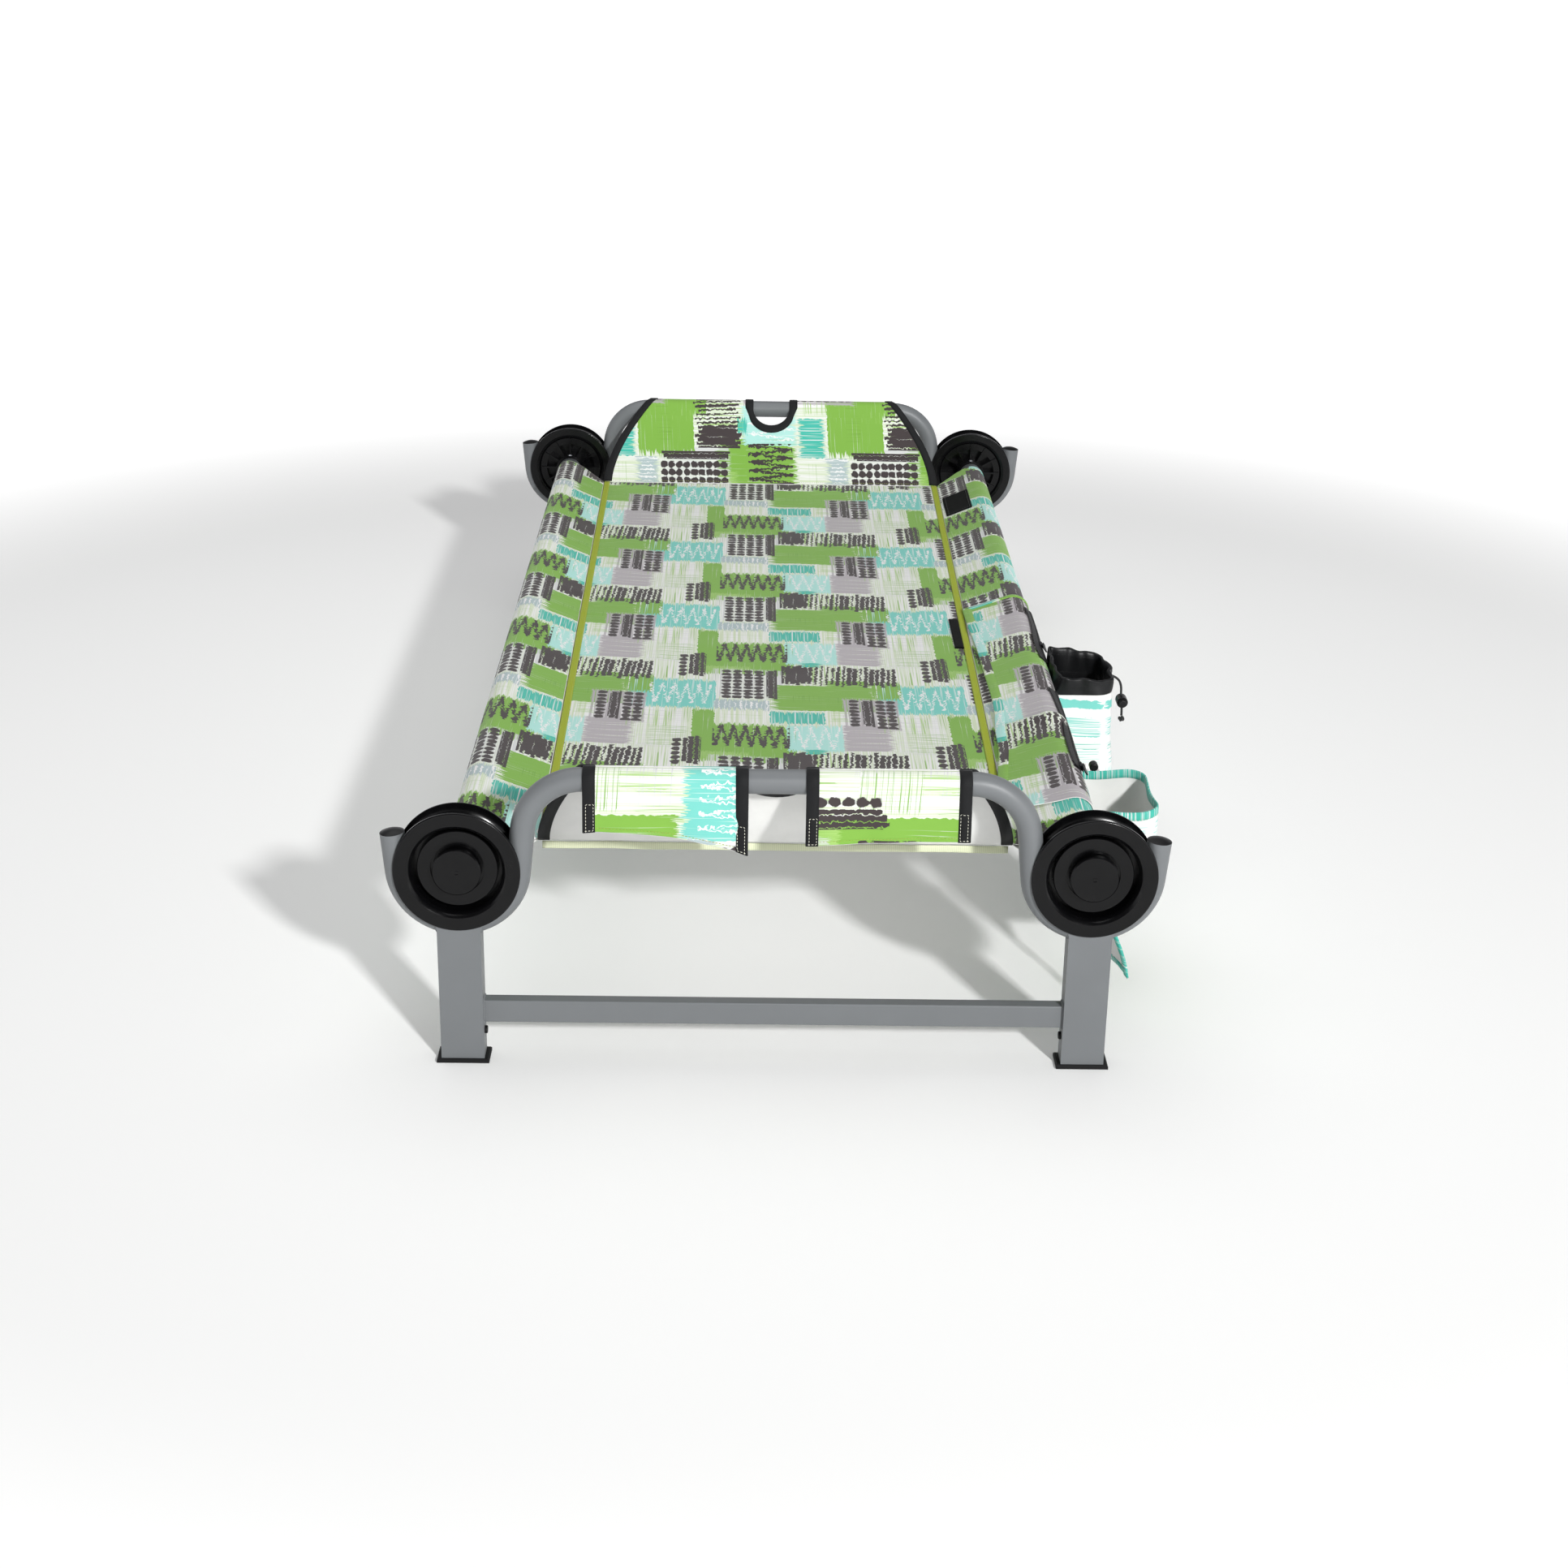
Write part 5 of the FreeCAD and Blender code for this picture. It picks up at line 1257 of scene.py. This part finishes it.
class MakeOrganizer(bpy.types.Operator):
    """Organiser over the right rail: sheet, zippers, open pocket and its small fittings"""

    bl_idname = "cot.organizer"
    bl_label = "Organiser"

    def execute(self, context):
        rows = organizer_rows()
        sheet = cloth("organizer_cloth", rows, "print_organizer", ORG_WALL)
        place_piece(sheet, ["organizer_panel"])
        edges = [[row[0][0] + Vector((4 * MM, 0, 1.8 * MM)) for row in rows[2:-2]],
                 [row[-1][0] + Vector((1.0 * MM, 0, 5 * MM)) for row in rows[2:-2]]]
        place_piece(stitches("organizer_stitches", edges, "light_thread"))
        self.folded_edge("organizer_inner_hem", [row[0][0] for row in rows],
                         [row[2][0] for row in rows], 11 * MM, "print_organizer")
        self.folded_edge("organizer_head_hem", [p for p, uv in rows[-1][:30]],
                         [p for p, uv in rows[-3][:30]], 9 * MM, "print_organizer")
        self.folded_edge("organizer_hem", [row[-1][0] for row in rows], [row[-4][0] for row in rows],
                         9 * MM, "print_rim")
        self.folded_edge("organizer_corner_hem", [p for p, uv in rows[0][26:]],
                         [p for p, uv in rows[3][26:]], 7 * MM, "print_rim")
        self.zippers()
        self.open_pocket()
        self.patches()
        return {"FINISHED"}

    def folded_edge(self, name, edge, inner, width, finish):
        """Hem turned over a free edge of the organiser."""
        inward = [(b - a).normalized() for a, b in zip(edge, inner)]
        before, after = [edge[0]] + edge[:-1], edge[1:] + [edge[-1]]
        faces = [side.cross(b - a).normalized() for side, a, b in zip(inward, before, after)]
        fold = sweep(name, edge, inward, faces, fold_section(width, ORG_WALL), finish)
        place_piece(fold)

    def zippers(self):
        """Tape and teeth of the two zippers along the rail's shoulder."""
        tapes, lines = [], []
        low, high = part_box("organizer_zippers")
        for index, (foot, head) in enumerate(((low.y, FOOT_ZIP_END), (HEAD_ZIP_START, high.y))):
            path, normals, teeth = [], [], []
            for y in steps(foot, head, 60):
                angle = ZIP_ANGLE + 0.10 * math.sin((y - foot) / 0.034)
                radius = ORG_R + ORG_WALL / 2 + 0.7 * MM
                normal = Vector((math.cos(angle), 0, math.sin(angle)))
                path.append(at(RAIL_X, y, RAIL_Z) + normal * radius)
                normals.append(normal)
                level = angle + TEETH_ANGLE - ZIP_ANGLE
                teeth.append((at(RAIL_X, y, RAIL_Z), Vector((math.cos(level), 0, math.sin(level)))))
            sides = frames_along(path, normals)
            strip = sweep("zipper_tape_%d" % (index + 1), path, sides, normals,
                          strip_section(ZIP_WIDTH, 1.0 * MM), "zip")
            tapes.append(strip)
            for way in (1, -1):
                lines.append([axis + side * way * 0.9 * MM + out * (radius + 1.1 * MM) for (axis, out),
                              side in zip(teeth, sides)])
        first, second = tapes
        place_piece(first, ["organizer_zippers"])
        place_piece(second)
        teeth = grains("zipper_teeth", lines, 2.0 * MM, (1.4 * MM, 1.9 * MM, 1.3 * MM), "small")
        place_piece(teeth)

    def open_pocket(self):
        x0, x1 = POCKET_LOW.x + 0.8 * MM, POCKET_HIGH.x - 0.8 * MM
        y0, y1, low, top = POCKET_LOW.y, POCKET_HIGH.y, POCKET_LOW.z, POCKET_HIGH.z
        rings = []
        for t in steps(0, 1, 14):
            z = top - 1 * MM - (top - low - 5 * MM) * t
            belly = 5 * MM * math.sin(math.pi * min(1.0, t * 1.1)) - 1.5 * MM
            ring = bag_ring(x0, x1 - 4 * MM * (1 - t) ** 2, y0 + 4 * MM * t, y1 - 3 * MM * t, z,
                            20 * MM, belly)
            for p in ring:
                rim = (1 - t) ** 3
                p.z += rim * 3.5 * MM * ripple(p.x, p.y, 0.05, 11.0)
                p.x = max(p.x + 1.5 * MM * ripple(p.y, p.z, 0.04, 12.0) * (p.x > x0 + 5 * MM), x0)
            rings.append(ring)
        rows = bag_rows(rings)
        bag = cloth("open_pocket_cloth", rows, "print_pocket", BAG_WALL, ring=True, faces_in=True)
        place_piece(bag, ["open_pocket"])
        ring = rings[0]
        rim = [at(p.x - CENTRE_X, p.y, p.z) for p in ring]
        down = [Vector((0, 0, -1))] * len(rim)
        centre = sum(rim, Vector()) / len(rim)
        outwards = [(p - centre).normalized() for p in rim]
        band = sweep("open_pocket_rim", rim, down, outwards, fold_section(9 * MM, BAG_WALL),
                     "print_rim", closed=True)
        place_piece(band)
        inset = [p + Vector((0, 0, -8 * MM)) + o * 1.7 * MM for p, o in zip(rim, outwards)]
        sewn = stitches("open_pocket_stitches", [inset + inset[:1]], "light_thread")
        place_piece(sewn)

    def patches(self):
        """Hook patch on the sleeve's slope and the dark strip beside the seam."""
        foot, head = PATCH_LOW.y, PATCH_HIGH.y
        near, far = PATCH_LOW.x - CENTRE_X, PATCH_HIGH.x - CENTRE_X
        rows = []
        for y in steps(foot, head, 20):
            px, pz = deck_half(y), DECK_TOP + 0.9 * MM
            slope = math.tan(tangent(px, pz, RAIL_X, RAIL_Z, SLEEVE_R + 1.5 * MM, 1)[0])
            row = []
            for x in steps(near, far, 10):
                row.append((at(x, y, pz + (x - px) * slope + 0.4 * MM), (x, y)))
            rows.append(row)
        patch = cloth("hook_patch_pad", rows, "hooks", 1.4 * MM, "zip")
        place_piece(patch, ["hook_patch"])
        up = Vector((0, 0, 1.3 * MM))
        lines = [[row[1][0] + up for row in rows[1:-1]], [row[-2][0] + up for row in rows[1:-1]],
                 [p + up for p, uv in rows[1][1:-1]], [p + up for p, uv in rows[-2][1:-1]]]
        place_piece(stitches("hook_patch_stitches", lines, "black_thread"))
        path = [at((STRIP_LOW.x + STRIP_HIGH.x) / 2 - CENTRE_X, y, DECK_TOP + 0.7 * MM)
                for y in steps(STRIP_LOW.y, STRIP_HIGH.y, 24)]
        ups = [Vector((0, 0, 1))] * len(path)
        strip = sweep("hook_strip_pad", path, frames_along(path, ups), ups,
                      strip_section(STRIP_HIGH.x - STRIP_LOW.x, 1.2 * MM), "hooks")
        place_piece(strip, ["hook_strip"])


class MakeBottlePouch(bpy.types.Operator):
    """Bottle pouch with its ripstop drawstring collar and drawcord"""

    bl_idname = "cot.pouch"
    bl_label = "Bottle pouch"

    def execute(self, context):
        self.pouch()
        self.collar()
        self.cord()
        return {"FINISHED"}

    def pouch(self):
        x0, x1 = POUCH_LOW.x + 0.8 * MM, POUCH_HIGH.x - 0.8 * MM
        top, low = POUCH_HIGH.z, POUCH_LOW.z
        mouth_foot, mouth_head = COLLAR_LOW.y + 0.8 * MM, COLLAR_HIGH.y - 0.8 * MM
        rings = []
        for t in steps(0, 1, 20):
            z = top - (top - low - 4 * MM) * t
            foot = mouth_foot + (POUCH_LOW.y + 1 * MM - mouth_foot) * (0.35 * t + 0.65 * t ** 1.6)
            head = mouth_head + 3 * MM * math.sin(math.pi * t)
            sag = 4.5 * MM * math.sin(math.pi * t) ** 2
            ring = bag_ring(x0, x1 - 3 * MM * math.sin(math.pi * t), foot, head, z, 21 * MM, sag)
            for p in ring:
                free = (p.x > x0 + 6 * MM) * math.sin(math.pi * min(1.0, t + 0.05))
                fold = ripple(p.y * 0.6 + z * 0.5, z * 0.5 - p.y * 0.3, 0.035, 21.0)
                p.x = min(max(p.x + 4 * MM * fold * free, x0), x1 + 6 * MM)
                p.y += 2 * MM * ripple(p.x, z, 0.03, 22.0) * free
            rings.append(ring)
        bag = cloth("bottle_pouch_cloth", bag_rows(rings), "print_pouch", BAG_WALL, ring=True,
                    faces_in=True)
        place_piece(bag, ["bottle_pouch"])
        ring = rings[10]

    def collar(self):
        """Ruffled collar whose edge folds in over the drawstring."""
        x0, x1 = COLLAR_LOW.x + 0.8 * MM, COLLAR_HIGH.x - 0.8 * MM
        low, high = COLLAR_LOW.z, COLLAR_HIGH.z
        y0, y1 = COLLAR_LOW.y + 0.8 * MM, COLLAR_HIGH.y - 0.8 * MM
        rows = []
        heights = [(t, 0.0) for t in steps(0, 1, 9)] + [(1.02, 3 * MM), (0.9, 5 * MM), (0.6, 6 * MM),
                                                        (0.1, 7 * MM), (-0.6, 6 * MM)]
        run = 0.0
        for t, inset in heights:
            z = low + (high - low) * min(t, 1.02)
            ring = bag_ring(x0, x1, y0, y1, z, 21 * MM, 0.0, 18)
            centre = sum(ring, Vector()) / len(ring)
            around, row = 0.0, []
            for k, p in enumerate(ring):
                around += (p - ring[k - 1]).length if k else 0.0
                out = (p - centre).normalized()
                amount = max(0.0, min(t, 1.0)) ** 0.7
                reach_x, reach_y = (x1 - x0) / 2, (y1 - y0) / 2
                side, along = (p.x - centre.x) / reach_x, (p.y - centre.y) / reach_y
                # Towards its mouth the collar draws into a leaf shape and tips up at the back.
                narrow = 1 - 0.16 * amount * along * along - 0.1 * amount * side * along
                ruffle = (2.6 * math.sin(around / 0.0058 + 5 * ripple(around, 0, 0.03, 31.0))
                          + 3.4 * ripple(around, t * 0.01, 0.014, 32.0)) * MM * amount
                place = p + out * (min(ruffle, 3.0 * MM if p.x > x0 + 2 * MM else 0.0) - inset)
                place.x = centre.x + (place.x - centre.x) * narrow
                place.z += amount * (5.0 * MM * along - 3.0 * MM * side
                                     + 5.0 * MM * ripple(around, 0, 0.028, 33.0))
                row.append((at(place.x - CENTRE_X, place.y, place.z), (around, run)))
            run += 3 * MM
            rows.append(row)
        frill = cloth("pouch_collar_cloth", rows, "ripstop", 0.5 * MM, "ripstop", ring=True,
                      faces_in=True)
        place_piece(frill, ["pouch_collar"])
        around = sum((a[0] - b[0]).length for a, b in zip(rows[5], rows[5][1:]))

    def cord(self):
        data = bpy.data.curves.new("drawcord_line", "CURVE")
        data.dimensions = "3D"
        data.bevel_depth, data.bevel_resolution, data.resolution_u = CORD_DIAMETER / 2, 4, 16
        data.use_fill_caps = True
        route = [Vector(p) * MM for p in CORD_ROUTE]
        spline = data.splines.new("NURBS")
        spline.points.add(len(route) - 1)
        for point, place in zip(spline.points, route):
            point.co = (*place, 1)
        spline.order_u = 3
        spline.use_endpoint_u = True
        cord = linked("drawcord_line", data)
        data.materials.append(FINISHES["cord"])
        place_piece(cord, ["drawcord"])
        knot = self.knot()

    def knot(self):
        """Overhand knot: a trefoil of the same cord, pulled tight."""
        low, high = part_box("drawcord_knot")
        centre, size = (low + high) / 2, (high.x - low.x) / 2
        path = []
        for t in steps(0, 2 * math.pi, 72)[:-1]:
            path.append(centre + Vector(((math.sin(t) + 2 * math.sin(2 * t)) / 3,
                                         (math.cos(t) - 2 * math.cos(2 * t)) / 3,
                                         -math.sin(3 * t) * 0.55)) * (size - CORD_DIAMETER / 2))
        headings = [(path[(i + 1) % len(path)] - path[i - 1]).normalized() for i in range(len(path))]
        sides = [h.cross(Vector((0.2, 0.1, 1))).normalized() for h in headings]
        normals = [h.cross(s) for h, s in zip(headings, sides)]
        circle = [(CORD_DIAMETER / 2 * math.cos(a), CORD_DIAMETER / 2 * math.sin(a))
                  for a in steps(0, 2 * math.pi, 10)[:-1]]
        knot = sweep("drawcord_overhand_knot", path, sides, normals, circle, "cord", closed=True)
        return place_piece(knot, ["drawcord_knot"])


class MakeStudio(bpy.types.Operator):
    """Floor, lights and camera"""

    bl_idname = "cot.studio"
    bl_label = "Studio"

    def execute(self, context):
        look, studio, scene = context.scene.cot_colours, context.scene.cot_studio, context.scene
        finish, tree, surface = new_finish("studio_floor",
                                           {"Base Color": (*look.floor, 1.0), "Roughness": 0.95,
                                            "Specular IOR Level": 0.1, "Emission Color": (1, 1, 1, 1)})
        # The sweep glows softly and runs to pure white a few metres out.
        spot = add(tree, "TexCoord").outputs["Object"]
        reach = add(tree, "VectorMath", (spot,), "LENGTH").outputs["Value"]
        glow = add(tree, "MapRange", {"Value": reach, "From Min": GLOW_START, "From Max": GLOW_END,
                                      "To Min": studio.glow, "To Max": 1.0},
                   interpolation_type="SMOOTHSTEP")
        tree.links.new(glow.outputs[0], surface.inputs["Emission Strength"])
        bpy.ops.mesh.primitive_plane_add(size=60)
        floor = context.object
        floor.name = "studio_floor"
        floor.data.materials.append(finish)
        world = bpy.data.worlds.new("even_fill")
        world.use_nodes = True
        back = world.node_tree.nodes["Background"]
        back.inputs["Color"].default_value = (*look.sky, 1.0)
        # White low down like a studio's walls, and dimmer overhead.
        room = world.node_tree
        heading = add(room, "TexCoord").outputs["Generated"]
        height = add(room, "SeparateXYZ", (heading,)).outputs["Z"]
        fade = add(room, "MapRange", {"Value": height, "From Min": 0.2, "From Max": 0.4, "To Min": 1.0,
                                      "To Max": studio.fill})
        room.links.new(fade.outputs[0], back.inputs["Strength"])
        scene.world = world
        for name, place, size, power in (("key_light", KEY_PLACE, KEY_SIZE, studio.key_power),
                                         ("top_light", TOP_PLACE, TOP_SIZE, studio.top_power)):
            lamp = bpy.data.lights.new(name, "AREA")
            lamp.energy, lamp.size = power, size
            item = linked(name, lamp)
            item.location = place
            item.rotation_euler = (AIM - place).to_track_quat("-Z", "Y").to_euler()
        data = bpy.data.cameras.new("camera")
        data.sensor_width, data.lens = 36.0, studio.lens
        camera = linked("camera", data)
        sin_p, cos_p = math.sin(studio.pitch), math.cos(studio.pitch)
        sin_y, cos_y = math.sin(studio.yaw), math.cos(studio.yaw)
        ahead = Vector((sin_y * cos_p, cos_y * cos_p, -sin_p))
        right = Vector((cos_y, -sin_y, 0))
        up = right.cross(ahead)
        across = right * math.cos(studio.roll) + up * math.sin(studio.roll)
        above = up * math.cos(studio.roll) - right * math.sin(studio.roll)
        turn = Matrix((across, above, -ahead)).transposed()
        camera.matrix_world = Matrix.Translation(studio.stand) @ turn.to_4x4()
        scene.camera = camera
        scene.view_settings.view_transform = "Standard"
        return {"FINISHED"}


class CotPanel(bpy.types.Panel):
    """Lists the steps that build the cot's looks"""

    bl_idname = "COT_PT_looks"
    bl_label = "Camp cot"
    bl_space_type = "VIEW_3D"
    bl_region_type = "UI"
    bl_category = "Cot"

    def draw(self, context):
        for group in (context.scene.cot_cloth, context.scene.cot_colours, context.scene.cot_studio):
            for key in group.bl_rna.properties.keys()[2:]:
                self.layout.prop(group, key)
        for step in STEPS:
            self.layout.operator(step.bl_idname)


STEPS = (MakeFinishes, MakeStudio, MakeBottlePouch, FinishFrame, MakeWelds, MakeDeck, MakeEnds,
         MakeOrganizer)
GROUPS = {"cot_cloth": CotCloth, "cot_colours": CotColours, "cot_studio": CotStudio}


def register():
    for kind in (*GROUPS.values(), *STEPS, CotPanel):
        bpy.utils.register_class(kind)
    for name, kind in GROUPS.items():
        setattr(bpy.types.Scene, name, bpy.props.PointerProperty(type=kind))


def unregister():
    for name in GROUPS:
        delattr(bpy.types.Scene, name)
    for kind in (CotPanel, *reversed(STEPS), *reversed(GROUPS.values())):
        bpy.utils.unregister_class(kind)


def main():
    register()
    bpy.ops.cot.finishes()
    bpy.ops.cot.studio()
    bpy.ops.cot.pouch()
    bpy.ops.cot.frame()
    bpy.ops.cot.welds()
    bpy.ops.cot.deck()
    bpy.ops.cot.ends()
    bpy.ops.cot.organizer()


if __name__ == "__main__":
    main()
